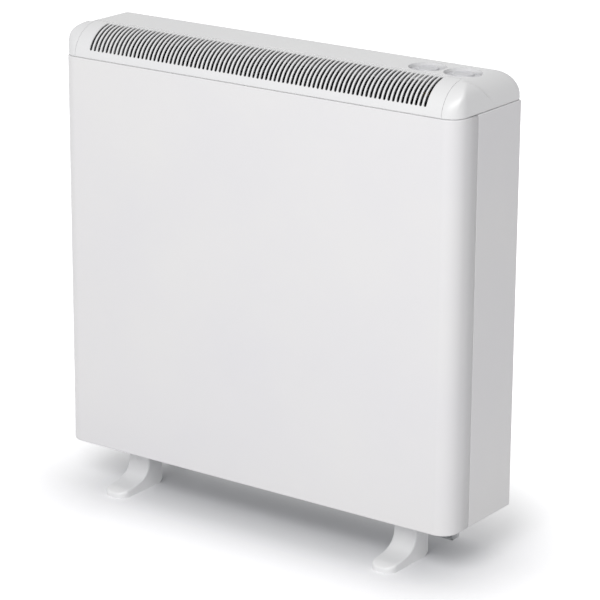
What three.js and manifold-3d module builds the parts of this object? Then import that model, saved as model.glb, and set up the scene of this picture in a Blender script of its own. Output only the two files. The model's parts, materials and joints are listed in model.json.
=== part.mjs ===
// A free-standing electric storage heater, in millimetres.
// +X runs to the right along the front, +Y to the back and +Z up. The origin is on the floor,
// under the middle of the whole heater from toe tips to wall brackets.
import * as THREE from 'three';
import { mergeVertices } from 'three/addons/utils/BufferGeometryUtils.js';
import Module from 'manifold-3d';

const wasm = await Module();
wasm.setup();

// ---------- driving sizes ----------

// case
const caseWidth = 705;
const caseDepth = 168;
const footHeight = 70;
const panelHeight = 612;
const capHeight = 48;
const sheet = 1;
const flange = 14;
const cornerRadius = 26;
const frontReturn = 54;
const sideSeam = 1;
const gap = 0.3;

// top cover and grille
const capInset = 1;
const capWall = 2.5;
const shadowGap = 1.6;
const lipInset = 1.6;
const lipWall = 1.8;
const lipHeight = 8;
const noseMargin = 1.5;
const flatMargin = 6.5;
const rearRoundHeight = 42;
const endRoundWidth = 28;
const endRoundHeight = 40;
const noseFillet = 22;
const noseTopDepth = 42;
const noseFootDepth = 104;
const grilleInset = 26.5;
const grilleMargin = 3;
const ledgeWidth = 5;
const ledgeThickness = 2;
const ledgeDrop = 1.6;
const firstSlotInset = 55.5;
const slotPitch = 7.52;
const slotWidth = 4.6;
const lastSlotInset = 55;
const slotLowAngle = 14.5;
const slotHighAngle = 80;

// dials
const dialPitch = 58.5;
const outputDialInset = 105.5;
const dialSetback = 2;
const wellRadius = 27.5;
const wellDepth = 12;
const wellWall = 1.5;
const knobGap = 0.8;
const knobSkirtHeight = 6.5;
const knobCrownRadius = 16;
const knobCrownHeight = 3.6;
const knobDimpleRadius = 11;
const knobDimpleDepth = 1.2;
const knobMarkAngle = 225;
const knobMarkRadius = 2;
const knobMarkHeight = 0.8;
const knobBoreDepth = 7;
const shaftRadius = 3;
const shaftClearance = 0.15;

// feet, rear legs and wall brackets
const toeReach = 19;
const footWidth = 40;
const footInset = 103.5;
const footColumnFront = 47;
const footColumnBack = 76;
const footHeelBack = 79;
const footRim = 6;
const sweepTop = 42;
const sweepPull = 17;
const toeTop = 14;
const toeBack = 12;
const toeRound = 4;
const toeCornerRadius = 15;
const studRadius = 3;
const studHeight = 12;
const legDepth = 20;
const legWall = 2;
const legInset = 2;
const wallGap = 19;
const bracketInset = 132.5;
const bracketWidth = 60;
const bracketHeight = 40;
const bracketSheet = 1.5;
const bracketDrop = 14;
const pegRadius = 2.5;
const pegTip = 1;
const wallHoleRadius = 3;

// core and insulation
const traySheet = 1.2;
const trayRim = 14;
const frontAirGap = 8;
const sideAirGap = 10;
const controlBay = 114;
const sideSlab = 27;
const frontSlab = 27;
const backSlab = 33;
const baseSlab = 27;
const topSlab = 25;
const coreDrop = 50;
const brickRows = 3;
const brickColumns = 2;
const channelWidth = 60;
const channelDepth = 7;
const channelPitch = 130;
const airSlotWidth = 16;
const airSlotMargin = 20;

// heating elements
const elementRadius = 4.25;
const grooveRadius = 6;
const legSpacing = 60;
const bendInset = 45;
const elementTail = 22;
const pinRadius = 2;
const pinLength = 12;
const busbarSheet = 1.2;
const busbarWidth = 6;
const busbarOffset = 10;
const busbarStandOff = 5;

// damper and its drive
const collarHeight = 4;
const flapSheet = 1.2;
const hingeSetback = 17;
const hubWall = 1.5;
const flapOverlap = 4;
const damperAngle = 45;
const dialAngle = 270;
const leverWidth = 6;
const leverThickness = 2;
const leverReach = 22;
const camLift = 12.5;
const camThickness = 3;
const camClearance = 0.8;
const camSteps = 45;
const bearingWidth = 14;
const bearingThickness = 3;

// controls and wiring
const bracketPlateDrop = 40;
const bracketPlateSheet = 1.2;
const controlBracketDepth = 60;
const controlFoot = 11;
const controlMargin = 3;
const partitionDrop = 10;
const neckRadius = 5;
const neckHeight = 9;
const thermostatSize = [40, 36, 26];
const tabWidth = 6;
const tabLength = 7;
const tabSheet = 0.8;
const tabLift = 8;
const bushFlangeRadius = 8;
const bushFlange = 2;
const bulbRadius = 3.5;
const bulbLength = 70;
const bulbBack = 30;
const capillaryRadius = 1.2;
const capillaryLead = 6;
const capillarySweep = 20;
const cutoutRadius = 9;
const cutoutHeight = 11;
const cutoutRim = 1.5;
const cutoutTabPlace = 4;
const blockSize = [26, 60, 22];
const blockWays = 3;
const blockLift = 40;
const wayWidth = 15.2;
const wayDepth = 9;
const wayReach = 14;
const wayHoleRadius = 2.2;
const wayHoleInset = 6.5;
const wayHoleFloor = 4.4;
const leadRadius = 1.6;
const leadGap = 0.5;
const leadWallGap = 20;
const leadRise = 60;
const leadDrop = 22;
const glandBore = 5;
const glandRadius = 8;
const glandFlangeRadius = 11;
const glandFlange = 5;
const glandInner = 14;
const glandInset = 42.5;
const glandZ = 110;
const earthRadius = 2.5;
const earthHeight = 18;
const earthNutRadius = 5;
const earthNutHeight = 4;

// ---------- places worked out from them ----------

const frontY = -(caseDepth + wallGap - toeReach) / 2;
const rearY = frontY + caseDepth;
const halfWidth = caseWidth / 2;
const seamZ = footHeight + panelHeight;
const topZ = seamZ + capHeight;
const returnY = frontY + frontReturn;
const footX = halfWidth - footInset;
const bracketX = halfWidth - bracketInset;
const glandX = halfWidth - glandInset;

const dialY = (frontY + rearY) / 2 + dialSetback;
const outputDialX = halfWidth - outputDialInset;
const inputDialX = outputDialX + dialPitch;
const grilleDepth = dialY - frontY - wellRadius - grilleMargin;
const grilleHalfWidth = halfWidth - grilleInset;
const bullnoseDepth = grilleDepth + noseMargin;
const firstSlotX = firstSlotInset - halfWidth;
const slotCount = Math.floor((halfWidth - lastSlotInset - firstSlotX) / slotPitch) + 1;

const capBaseZ = seamZ + shadowGap;
const capFrontY = frontY + capInset;
const capRearY = rearY - capInset;
const capEndX = halfWidth - capInset;
const flatStartY = capFrontY + bullnoseDepth;
const flatEndY = dialY + wellRadius + flatMargin;

const backOuterY = rearY - sheet - gap;
const backInnerY = backOuterY - sheet;
const trayZ = footHeight + sheet + gap;
const trayTopZ = trayZ + traySheet;
const shieldFrontY = frontY + sheet + frontAirGap;
const slabFrontY = shieldFrontY + sheet + gap;
const trayBackY = backInnerY - gap;
const slabBackY = trayBackY - traySheet - gap;
const coreFrontY = slabFrontY + frontSlab + gap;
const coreBackY = slabBackY - backSlab - gap;
const coreMidY = (coreFrontY + coreBackY) / 2;

const partitionLeftX = -halfWidth + sheet + sideAirGap;
const partitionRightX = halfWidth - sheet - controlBay;
const slabLeftX = partitionLeftX + sheet + gap;
const slabRightX = partitionRightX - sheet - gap;
const coreLeftX = slabLeftX + sideSlab + gap;
const coreRightX = slabRightX - sideSlab - gap;

const coreBaseZ = trayTopZ + gap + baseSlab + gap;
const coreTopZ = seamZ - coreDrop;
const shieldTopZ = coreTopZ + gap + topSlab + gap;
const partitionTopZ = seamZ - partitionDrop;
const brickLength = (coreRightX - coreLeftX - gap * (brickColumns - 1)) / brickColumns;
const brickHeight = (coreTopZ - coreBaseZ - gap * (brickRows - 1)) / brickRows;

const wellFloorZ = topZ - wellDepth;
const knobBaseZ = wellFloorZ + knobGap;
const controlPlateZ = topZ - bracketPlateDrop;
const shaftHole = shaftRadius + shaftClearance;

const airSlotX = [coreLeftX + airSlotMargin, coreRightX - airSlotMargin];
const collarTopZ = shieldTopZ + sheet + collarHeight;
const hingeY = coreMidY + hingeSetback;
const hingeZ = collarTopZ + gap + flapSheet;
const camBaseZ = hingeZ + camLift;

// ---------- solids from three.js geometry ----------

function toSolid(geometry) {
  const bare = geometry.clone();
  bare.deleteAttribute('normal');
  bare.deleteAttribute('uv');
  const merged = mergeVertices(bare, 1e-4);
  const vertProperties = new Float32Array(merged.attributes.position.array);
  const triVerts = new Uint32Array(merged.index.array);
  return new wasm.Manifold(new wasm.Mesh({ numProp: 3, vertProperties, triVerts }));
}

function toGeometry(solid) {
  const mesh = solid.getMesh();
  const geometry = new THREE.BufferGeometry();
  const positions = new Float32Array(mesh.vertProperties);
  geometry.setAttribute('position', new THREE.BufferAttribute(positions, 3));
  geometry.setIndex(new THREE.BufferAttribute(new Uint32Array(mesh.triVerts), 1));
  geometry.computeVertexNormals();
  return geometry;
}

function block(xs, ys, zs) {
  const size = [xs, ys, zs].map((pair) => Math.abs(pair[1] - pair[0]));
  const centre = [xs, ys, zs].map((pair) => (pair[0] + pair[1]) / 2);
  return toSolid(new THREE.BoxGeometry(...size).translate(...centre));
}

function outline(points) {
  return new THREE.Shape(points.map(([u, v]) => new THREE.Vector2(u, v)));
}

// Extrudes an outline of (x, y) upwards between two heights.
function prismZ(shape, zs, curveSegments = 8) {
  const depth = zs[1] - zs[0];
  const options = { depth, bevelEnabled: false, curveSegments };
  return toSolid(new THREE.ExtrudeGeometry(shape, options).translate(0, 0, zs[0]));
}

// Extrudes an outline of (y, z) to the right between two places on X.
function prismX(shape, xs, curveSegments = 8) {
  const depth = Math.abs(xs[1] - xs[0]);
  const geometry = new THREE.ExtrudeGeometry(shape, { depth, bevelEnabled: false, curveSegments });
  const alongX = new THREE.Vector3(1, 0, 0);
  const alongY = new THREE.Vector3(0, 1, 0);
  const alongZ = new THREE.Vector3(0, 0, 1);
  geometry.applyMatrix4(new THREE.Matrix4().makeBasis(alongY, alongZ, alongX));
  return toSolid(geometry.translate(Math.min(...xs), 0, 0));
}

// Extrudes an outline of (x, z) from the back towards the front, between two places on Y.
function prismY(shape, ys, curveSegments = 8) {
  const depth = Math.abs(ys[1] - ys[0]);
  const geometry = new THREE.ExtrudeGeometry(shape, { depth, bevelEnabled: false, curveSegments });
  const alongX = new THREE.Vector3(1, 0, 0);
  const towardsFront = new THREE.Vector3(0, -1, 0);
  const alongZ = new THREE.Vector3(0, 0, 1);
  geometry.applyMatrix4(new THREE.Matrix4().makeBasis(alongX, alongZ, towardsFront));
  return toSolid(geometry.translate(0, Math.max(...ys), 0));
}

// A round bar along 'x', 'y' or 'z'. Its centre line passes through the two other coordinates.
function rod(axis, radius, span, centre, sides = 16) {
  const geometry = new THREE.CylinderGeometry(radius, radius, Math.abs(span[1] - span[0]), sides);
  const middle = (span[0] + span[1]) / 2;
  if (axis === 'x') geometry.rotateZ(-Math.PI / 2).translate(middle, centre[0], centre[1]);
  if (axis === 'y') geometry.translate(centre[0], middle, centre[1]);
  if (axis === 'z') geometry.rotateX(Math.PI / 2).translate(centre[0], centre[1], middle);
  return toSolid(geometry);
}

function joined(solids) {
  return solids.reduce((whole, next) => whole.add(next));
}

function cutBy(solid, cutters) {
  return solid.subtract(joined(cutters));
}

// A round tube along a path that is straight, except where it bends.
function tube(path, radius, steps, sides) {
  const section = new THREE.Shape();
  for (let i = 0; i < sides; i += 1) {
    const angle = (2 * Math.PI * i) / sides;
    const point = [radius * Math.cos(angle), radius * Math.sin(angle)];
    if (i === 0) section.moveTo(...point);
    else section.lineTo(...point);
  }
  const options = { steps, extrudePath: path, curveSegments: 1 };
  return toSolid(new THREE.ExtrudeGeometry(section, options));
}

// ---------- finishes ----------

const finishes = {
  whitePaint: { color: '#e9e9ea', roughness: 0.42, metalness: 0 },
  whitePlastic: { color: '#ececec', roughness: 0.38, metalness: 0 },
  dialPlastic: { color: '#dcdce2', roughness: 0.4, metalness: 0 },
  galvanised: { color: '#a9adb0', roughness: 0.45, metalness: 0.9 },
  plainSteel: { color: '#8e9194', roughness: 0.35, metalness: 1 },
  brass: { color: '#c8a24c', roughness: 0.3, metalness: 1 },
  brick: { color: '#5a4f4a', roughness: 0.95, metalness: 0 },
  insulation: { color: '#d8d3c6', roughness: 1, metalness: 0 },
  elementSheath: { color: '#6b6a68', roughness: 0.5, metalness: 0.8 },
  blackPlastic: { color: '#232323', roughness: 0.6, metalness: 0 },
  ceramic: { color: '#efeade', roughness: 0.5, metalness: 0 },
  leadSleeve: { color: '#6a3f2a', roughness: 0.7, metalness: 0 },
};

const heater = new THREE.Group();
heater.name = 'storage_heater';

function addPart(name, solid, finish, position = [0, 0, 0]) {
  const mesh = new THREE.Mesh(toGeometry(solid), new THREE.MeshStandardMaterial(finishes[finish]));
  mesh.name = name;
  mesh.position.set(...position);
  heater.add(mesh);
}

// ---------- outlines shared by the case and the cap ----------

// The plan of the case: square at the back, with rounded corners at the front.
function planOutline(inset, backY) {
  const x = halfWidth - inset;
  const y = frontY + inset;
  const radius = Math.max(cornerRadius - inset, 1);
  const shape = new THREE.Shape();
  shape.moveTo(-x, backY);
  shape.lineTo(-x, y + radius);
  shape.absarc(-x + radius, y + radius, radius, Math.PI, 1.5 * Math.PI, false);
  shape.absarc(x - radius, y + radius, radius, 1.5 * Math.PI, 2 * Math.PI, false);
  shape.lineTo(x, backY);
  shape.closePath();
  return shape;
}

// The side view of the cap: an elliptical nose, a flat top and a rounded back edge.
function capOutline(inset) {
  const noseHeight = topZ - capBaseZ - inset;
  const shape = new THREE.Shape();
  shape.moveTo(capFrontY + inset, capBaseZ);
  shape.absellipse(flatStartY, capBaseZ, bullnoseDepth - inset, noseHeight, Math.PI, Math.PI / 2, true);
  shape.lineTo(flatEndY, topZ - inset);
  const rearWidth = capRearY - flatEndY - inset;
  const rearHeight = rearRoundHeight - inset;
  const rearBaseZ = topZ - rearRoundHeight;
  shape.absellipse(flatEndY, rearBaseZ, rearWidth, rearHeight, Math.PI / 2, 0, true);
  shape.lineTo(capRearY - inset, capBaseZ);
  shape.closePath();
  return shape;
}

// The front view of the cap, with both top corners rounded off.
function capEndOutline(inset, roundWidth, roundHeight) {
  const x = capEndX - inset;
  const z = topZ - roundHeight;
  const width = roundWidth - inset;
  const height = roundHeight - inset;
  const shape = new THREE.Shape();
  shape.moveTo(-x, capBaseZ);
  shape.lineTo(x, capBaseZ);
  shape.lineTo(x, z);
  shape.absellipse(x - width, z, width, height, 0, Math.PI / 2, false);
  shape.absellipse(-x + width, z, width, height, Math.PI / 2, Math.PI, false);
  shape.closePath();
  return shape;
}

// ---------- case ----------

function frontPanel() {
  const outer = prismZ(planOutline(0, returnY), [footHeight, seamZ]);
  const hollow = prismZ(planOutline(sheet, returnY + flange), [footHeight + sheet, seamZ - sheet]);
  const mouth = prismZ(planOutline(flange, returnY + flange), [footHeight - sheet, seamZ + sheet]);
  return cutBy(outer, [hollow, mouth]);
}

// A folded side sheet. Its front edge is joggled to lie behind the front panel's return.
function sidePanel(side) {
  const outerX = side * halfWidth;
  const skinX = side * (halfWidth - sheet);
  const flangeX = side * (halfWidth - flange);
  const startY = returnY + sideSeam;
  const heights = [footHeight, seamZ];
  const lapX = [side * (halfWidth - sheet - gap), side * (halfWidth - 2 * sheet - gap)];
  const lapHeights = [footHeight + sheet + gap + trayRim, seamZ - sheet - gap];
  return joined([
    block([skinX, outerX], [startY, rearY], heights),
    block([flangeX, outerX], [rearY - sheet, rearY], heights),
    block([flangeX, outerX], [startY, rearY], [footHeight, footHeight + sheet]),
    block([flangeX, outerX], [startY, rearY], [seamZ - sheet, seamZ]),
    block([lapX[1], outerX], [startY, startY + sheet], lapHeights),
    block(lapX, [startY - flange, startY + sheet], lapHeights),
  ]);
}

function backPanel() {
  const x = halfWidth - sheet - gap;
  const heights = [trayZ, seamZ - sheet - gap];
  const skin = block([-x, x], [backInnerY, backOuterY], heights);
  const topFlange = block([-x, x], [backInnerY - flange, backOuterY], [heights[1] - sheet, heights[1]]);
  const holes = [rod('y', glandRadius + gap, [backInnerY - flange, rearY], [glandX, glandZ])];
  for (const side of [-1, 1]) {
    for (const peg of pegPlaces(side)) {
      holes.push(rod('y', pegRadius + gap, [backInnerY - sheet, rearY], peg, 12));
    }
  }
  return cutBy(joined([skin, topFlange]), holes);
}

function baseTray() {
  const x = halfWidth - sheet - gap;
  const ys = [frontY + sheet + gap, trayBackY];
  const rimX = halfWidth - cornerRadius;
  const floor = block([-rimX, rimX], ys, [trayZ, trayTopZ]);
  const wings = block([-x, x], [returnY, ys[1]], [trayZ, trayTopZ]);
  const rims = [
    block([-rimX, rimX], [ys[0], ys[0] + traySheet], [trayZ, trayZ + trayRim]),
    block([-x, x], [ys[1] - traySheet, ys[1]], [trayZ, trayZ + trayRim]),
  ];
  for (const side of [-1, 1]) {
    rims.push(block([side * x, side * (x - traySheet)], [returnY, ys[1]], [trayZ, trayZ + trayRim]));
  }
  const holes = [];
  for (const stud of [...studPlaces(-1), ...studPlaces(1)]) {
    holes.push(rod('z', studRadius + gap, [trayZ - sheet, trayTopZ + sheet], stud));
  }
  const inletYs = [coreMidY - airSlotWidth / 2, coreMidY + airSlotWidth / 2];
  holes.push(block(airSlotX, inletYs, [trayZ - sheet, trayTopZ + sheet]));
  return cutBy(joined([floor, wings, ...rims]), holes);
}

// ---------- top cover and grille ----------

// The lip under the cap's wall, set back so that a dark line shows between cap and case.
function capLip() {
  const heights = [seamZ + gap, seamZ + gap + lipHeight];
  const inset = capInset + lipInset;
  const outer = prismZ(planOutline(inset, rearY - inset), heights);
  const inner = prismZ(planOutline(inset + lipWall, rearY - inset - lipWall), [seamZ, topZ]);
  return outer.subtract(inner);
}

function capForm(inset) {
  const wide = [-halfWidth, halfWidth];
  const deep = [frontY, rearY];
  const tall = [capBaseZ, topZ];
  const sideForm = prismX(capOutline(inset), wide, 6);
  const plan = prismZ(planOutline(capInset + inset, capRearY - inset), tall);
  const endForm = prismY(capEndOutline(inset, endRoundWidth, endRoundHeight), deep);
  return sideForm.intersect(endForm).intersect(plan);
}

// The nose runs out to the ends with a tighter edge than the rounded end behind it.
function noseForm() {
  const sideForm = prismX(capOutline(0), [-halfWidth, halfWidth], 6);
  const plan = prismZ(planOutline(capInset, capRearY), [capBaseZ, topZ]);
  const endForm = prismY(capEndOutline(0, noseFillet, noseFillet), [frontY, rearY]);
  const frontPart = prismX(outline([
    [frontY, capBaseZ],
    [frontY + noseFootDepth, capBaseZ],
    [frontY + noseTopDepth, topZ],
    [frontY, topZ],
  ]), [-halfWidth, halfWidth]);
  return sideForm.intersect(endForm).intersect(plan).intersect(frontPart);
}

function capHollow() {
  const inset = capInset + capWall;
  const mouth = prismZ(planOutline(inset, rearY - inset), [seamZ, capBaseZ + gap]);
  return capForm(capWall).add(mouth);
}

function topCover() {
  const grilleXs = [-grilleHalfWidth, grilleHalfWidth];
  const seamY = frontY + grilleDepth;
  const underside = topZ - capWall - ledgeDrop;
  const ledgeYs = [seamY - ledgeWidth, seamY + ledgeWidth];
  const ledge = block(grilleXs, ledgeYs, [underside - ledgeThickness, underside]);
  const ledgeRoot = block(grilleXs, [seamY + gap, ledgeYs[1]], [underside - ledgeThickness, topZ - gap]);
  const cups = [];
  const wells = [];
  for (const x of [outputDialX, inputDialX]) {
    const cupBaseZ = wellFloorZ - wellWall;
    cups.push(rod('z', wellRadius + wellWall, [cupBaseZ, topZ - capWall / 2], [x, dialY], 32));
    wells.push(rod('z', wellRadius, [wellFloorZ, topZ + 1], [x, dialY], 32));
    wells.push(rod('z', shaftRadius + 1, [cupBaseZ - 1, topZ], [x, dialY]));
  }
  const shell = capForm(0).add(noseForm()).subtract(capHollow()).add(capLip());
  const opening = block(grilleXs, [frontY - 1, seamY], [seamZ - 1, topZ + 1]);
  return shell.subtract(opening).add(ledge).add(ledgeRoot).add(joined(cups)).subtract(joined(wells));
}

// One slot's cutter: a thin wedge that opens from inside the nose to outside it.
function slotCutter(x) {
  const noseHeight = topZ - capBaseZ;
  const reach = (scale, degrees) => {
    const angle = THREE.MathUtils.degToRad(degrees);
    const y = flatStartY - scale * bullnoseDepth * Math.cos(angle);
    return [y, capBaseZ + scale * noseHeight * Math.sin(angle)];
  };
  const wedge = outline([
    reach(0.8, slotLowAngle),
    reach(1.1, slotLowAngle),
    reach(1.25, (slotLowAngle + slotHighAngle) / 2),
    reach(1.1, slotHighAngle),
    reach(0.8, slotHighAngle),
  ]);
  return prismX(wedge, [x - slotWidth / 2, x + slotWidth / 2]);
}

function grille() {
  const xs = [gap - grilleHalfWidth, grilleHalfWidth - gap];
  const hollow = capOutline(capWall);
  const mouth = block(xs, [capFrontY + capWall, capRearY - capWall], [seamZ, capBaseZ + gap]);
  const band = cutBy(prismX(capOutline(0), xs, 6), [prismX(hollow, xs, 4), mouth]);
  const lip = capLip().intersect(block(xs, [frontY, frontY + bullnoseDepth / 2], [seamZ, topZ]));
  const front = block(xs, [frontY, frontY + grilleDepth - gap], [seamZ, topZ]);
  const cutters = [];
  for (let i = 0; i < slotCount; i += 1) {
    cutters.push(slotCutter(firstSlotX + i * slotPitch));
  }
  return cutBy(band.intersect(front).add(lip), cutters);
}

// ---------- feet, legs and wall brackets ----------

function studPlaces(side) {
  const columnMiddle = frontY + (footColumnFront + footColumnBack) / 2;
  return [[side * footX, columnMiddle], [side * footX, rearY - legInset - legDepth / 2]];
}

// A moulded foot: a column that sweeps forward into a rounded toe, with a stud on top.
function frontFoot() {
  const top = trayZ - gap;
  const half = footWidth / 2;
  const side = new THREE.Shape();
  side.moveTo(footHeelBack, 0);
  side.lineTo(footColumnBack, top);
  side.lineTo(footColumnFront, top);
  side.lineTo(footColumnFront - 1, sweepTop);
  side.quadraticCurveTo(footColumnFront - toeRound, sweepPull, toeBack, toeTop);
  side.quadraticCurveTo(toeRound - toeReach, toeTop - 1, -toeReach, footRim);
  side.lineTo(-toeReach, 0);
  side.closePath();
  const radius = toeCornerRadius;
  const cornerY = radius - toeReach;
  const plan = new THREE.Shape();
  plan.moveTo(-half, footHeelBack);
  plan.lineTo(-half, cornerY);
  plan.absarc(radius - half, cornerY, radius, Math.PI, 1.5 * Math.PI);
  plan.absarc(half - radius, cornerY, radius, -Math.PI / 2, 0);
  plan.lineTo(half, footHeelBack);
  plan.closePath();
  const body = prismX(side, [-half, half]).intersect(prismZ(plan, [0, top], 5));
  const columnMiddle = (footColumnFront + footColumnBack) / 2;
  const studZs = [top - studHeight / 2, top + studHeight / 2];
  return body.add(rod('z', studRadius, studZs, [0, columnMiddle]));
}

// A folded steel leg, open to the front, that carries the back of the tray.
function rearLeg() {
  const half = footWidth / 2;
  const top = trayZ - gap;
  const outer = block([-half, half], [-legDepth / 2, legDepth / 2], [0, top]);
  const inX = half - legWall;
  const hollow = block([-inX, inX], [-legDepth, legDepth / 2 - legWall], [legWall, top - legWall]);
  const stud = rod('z', studRadius, [top - legWall / 2, top + studHeight / 2], [0, 0]);
  return outer.subtract(hollow).add(stud);
}

function pegPlaces(side) {
  const z = seamZ - bracketDrop - bracketHeight / 2;
  return [-1, 1].map((step) => [side * bracketX + step * bracketWidth / 4, z]);
}

// A folded channel that holds the case off the wall and takes the wall screw.
function wallBracket(side) {
  const centreX = side * bracketX;
  const xs = [centreX - bracketWidth / 2, centreX + bracketWidth / 2];
  const ys = [backOuterY + gap, rearY + wallGap];
  const zs = [seamZ - bracketDrop - bracketHeight, seamZ - bracketDrop];
  const channel = joined([
    block(xs, [ys[0], ys[0] + bracketSheet], zs),
    block(xs, ys, [zs[1] - bracketSheet, zs[1]]),
    block(xs, [ys[1] - bracketSheet, ys[1]], zs),
  ]);
  const holeYs = [ys[1] - wallGap / 2, ys[1] + 1];
  const hole = rod('y', wallHoleRadius, holeYs, [centreX, (zs[0] + zs[1]) / 2]);
  const pegs = pegPlaces(side).map((peg) => {
    return rod('y', pegRadius, [backInnerY - pegTip, ys[0] + bracketSheet / 2], peg, 12);
  });
  return channel.subtract(hole).add(joined(pegs));
}

// ---------- inner sheets ----------

function elementPlaces() {
  const places = [];
  for (let row = 0; row < brickRows; row += 1) {
    places.push(coreBaseZ + brickHeight / 2 + row * (brickHeight + gap));
  }
  return places;
}

function shieldFront() {
  const xs = [partitionLeftX, partitionRightX];
  return block(xs, [shieldFrontY, shieldFrontY + sheet], [trayTopZ + gap, shieldTopZ - gap]);
}

function shieldTop() {
  const xs = [partitionLeftX, slabRightX];
  const ys = [shieldFrontY, slabBackY];
  const plate = block(xs, ys, [shieldTopZ, shieldTopZ + sheet]);
  const half = airSlotWidth / 2;
  const collar = half + sheet;
  const collarXs = [airSlotX[0] - sheet, airSlotX[1] + sheet];
  const upstand = block(collarXs, [coreMidY - collar, coreMidY + collar], [shieldTopZ, collarTopZ]);
  const throat = block(airSlotX, [coreMidY - half, coreMidY + half], [shieldTopZ - 1, collarTopZ + 1]);
  return plate.add(upstand).subtract(throat);
}

function partitionLeft() {
  const ys = [shieldFrontY + sheet + gap, slabBackY];
  const zs = [trayTopZ + gap, shieldTopZ - gap];
  const wall = block([partitionLeftX, partitionLeftX + sheet], ys, zs);
  const flangeXs = [partitionLeftX - sideAirGap / 2, partitionLeftX + sheet];
  const foot = block(flangeXs, [frontY + cornerRadius, ys[1]], [zs[0], zs[0] + sheet]);
  return wall.add(foot);
}

function partitionRight() {
  const ys = [shieldFrontY + sheet + gap, slabBackY];
  const zs = [trayTopZ + gap, partitionTopZ];
  const xs = [partitionRightX - sheet, partitionRightX];
  const foot = block([xs[0], xs[1] + flange], ys, [zs[0], zs[0] + sheet]);
  const shelf = block([xs[0] - 2 * flange, xs[1]], ys, [zs[1] - sheet, zs[1]]);
  const span = [xs[0] - 1, xs[1] + 1];
  const holes = [
    rod('x', shaftHole, span, [hingeY, hingeZ]),
    rod('x', bulbRadius + 1, span, [bulbY(), bulbZ()]),
  ];
  for (const z of elementPlaces()) {
    for (const step of [-1, 1]) {
      holes.push(rod('x', elementRadius + gap, span, [coreMidY, z + step * legSpacing / 2]));
    }
  }
  for (const stud of studPlaces(1)) {
    holes.push(rod('z', studRadius + 1, [zs[0] - 1, zs[0] + sheet + 1], stud));
  }
  return cutBy(joined([block(xs, ys, zs), foot, shelf]), holes);
}

// ---------- core ----------

function slabs() {
  const xs = [slabLeftX, slabRightX];
  const ys = [slabFrontY, slabBackY];
  const coreYs = [coreFrontY, coreBackY];
  const coreZs = [coreBaseZ, coreTopZ];
  const slotYs = [coreMidY - airSlotWidth / 2, coreMidY + airSlotWidth / 2];
  const baseZs = [trayTopZ + gap, trayTopZ + gap + baseSlab];
  const topZs = [coreTopZ + gap, coreTopZ + gap + topSlab];
  const studHoles = studPlaces(-1).map((place) => {
    return rod('z', studRadius + 1, [baseZs[0] - 1, baseZs[0] + studHeight], place);
  });
  const base = block(xs, ys, baseZs).subtract(block(airSlotX, slotYs, [baseZs[0] - 1, baseZs[1] + 1]));
  const top = block(xs, ys, topZs).subtract(block(airSlotX, slotYs, [topZs[0] - 1, topZs[1] + 1]));
  const bulbHole = rod('x', bulbRadius + gap, [bulbTipX() - gap, slabRightX + 1], [bulbY(), bulbZ()], 12);
  const right = block([coreRightX + gap, slabRightX], coreYs, coreZs);
  const legHoles = [];
  for (const z of elementPlaces()) {
    for (const step of [-1, 1]) {
      const centre = [coreMidY, z + step * legSpacing / 2];
      legHoles.push(rod('x', elementRadius + gap, [coreRightX, slabRightX + 1], centre, 12));
    }
  }
  addPart('insulation_base', cutBy(base, studHoles), 'insulation');
  addPart('insulation_top', top.subtract(bulbHole), 'insulation');
  addPart('insulation_front', block(xs, [slabFrontY, slabFrontY + frontSlab], coreZs), 'insulation');
  addPart('insulation_back', block(xs, [slabBackY - backSlab, slabBackY], coreZs), 'insulation');
  addPart('insulation_left', block([slabLeftX, slabLeftX + sideSlab], coreYs, coreZs), 'insulation');
  addPart('insulation_right', cutBy(right, legHoles), 'insulation');
}

// One storage brick, about its own centre. layer is -1 in front of the elements, 1 behind them.
function brick(layer, column) {
  const depth = coreMidY - coreFrontY - gap / 2;
  const face = -layer * depth / 2;
  const faceToElements = face - layer * gap / 2;
  const half = [brickLength / 2, depth / 2, brickHeight / 2];
  const body = block([-half[0], half[0]], [-half[1], half[1]], [-half[2], half[2]]);
  const cutters = [];
  for (const step of [-1, 1]) {
    const x = step * channelPitch / 2;
    const ys = [face - layer, face + layer * channelDepth];
    cutters.push(block([x - channelWidth / 2, x + channelWidth / 2], ys, [-brickHeight, brickHeight]));
    const centre = [faceToElements, step * legSpacing / 2];
    cutters.push(rod('x', grooveRadius, [-brickLength, brickLength], centre, 10));
  }
  if (column === 0) {
    const bendZ = legSpacing / 2 + grooveRadius;
    const bendXs = [bendInset - legSpacing / 2 - grooveRadius - half[0], bendInset - half[0]];
    cutters.push(block(bendXs, [face - layer, face + layer * grooveRadius], [-bendZ, bendZ]));
    const blank = block([-brickLength, bendXs[0]], [-depth, depth], [-bendZ - 1, bendZ + 1]);
    return body.subtract(joined(cutters).subtract(blank));
  }
  return cutBy(body, cutters);
}

function bricks() {
  const depth = coreMidY - coreFrontY - gap / 2;
  const layers = [['front', -1], ['back', 1]];
  for (const [label, layer] of layers) {
    const y = coreMidY + layer * (gap + depth) / 2;
    for (let row = 0; row < brickRows; row += 1) {
      for (let column = 0; column < brickColumns; column += 1) {
        const x = coreLeftX + brickLength / 2 + column * (brickLength + gap);
        const number = row * brickColumns + column + 1;
        addPart(`brick_${label}_${number}`, brick(layer, column), 'brick', [x, y, elementPlaces()[row]]);
      }
    }
  }
}

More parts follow.
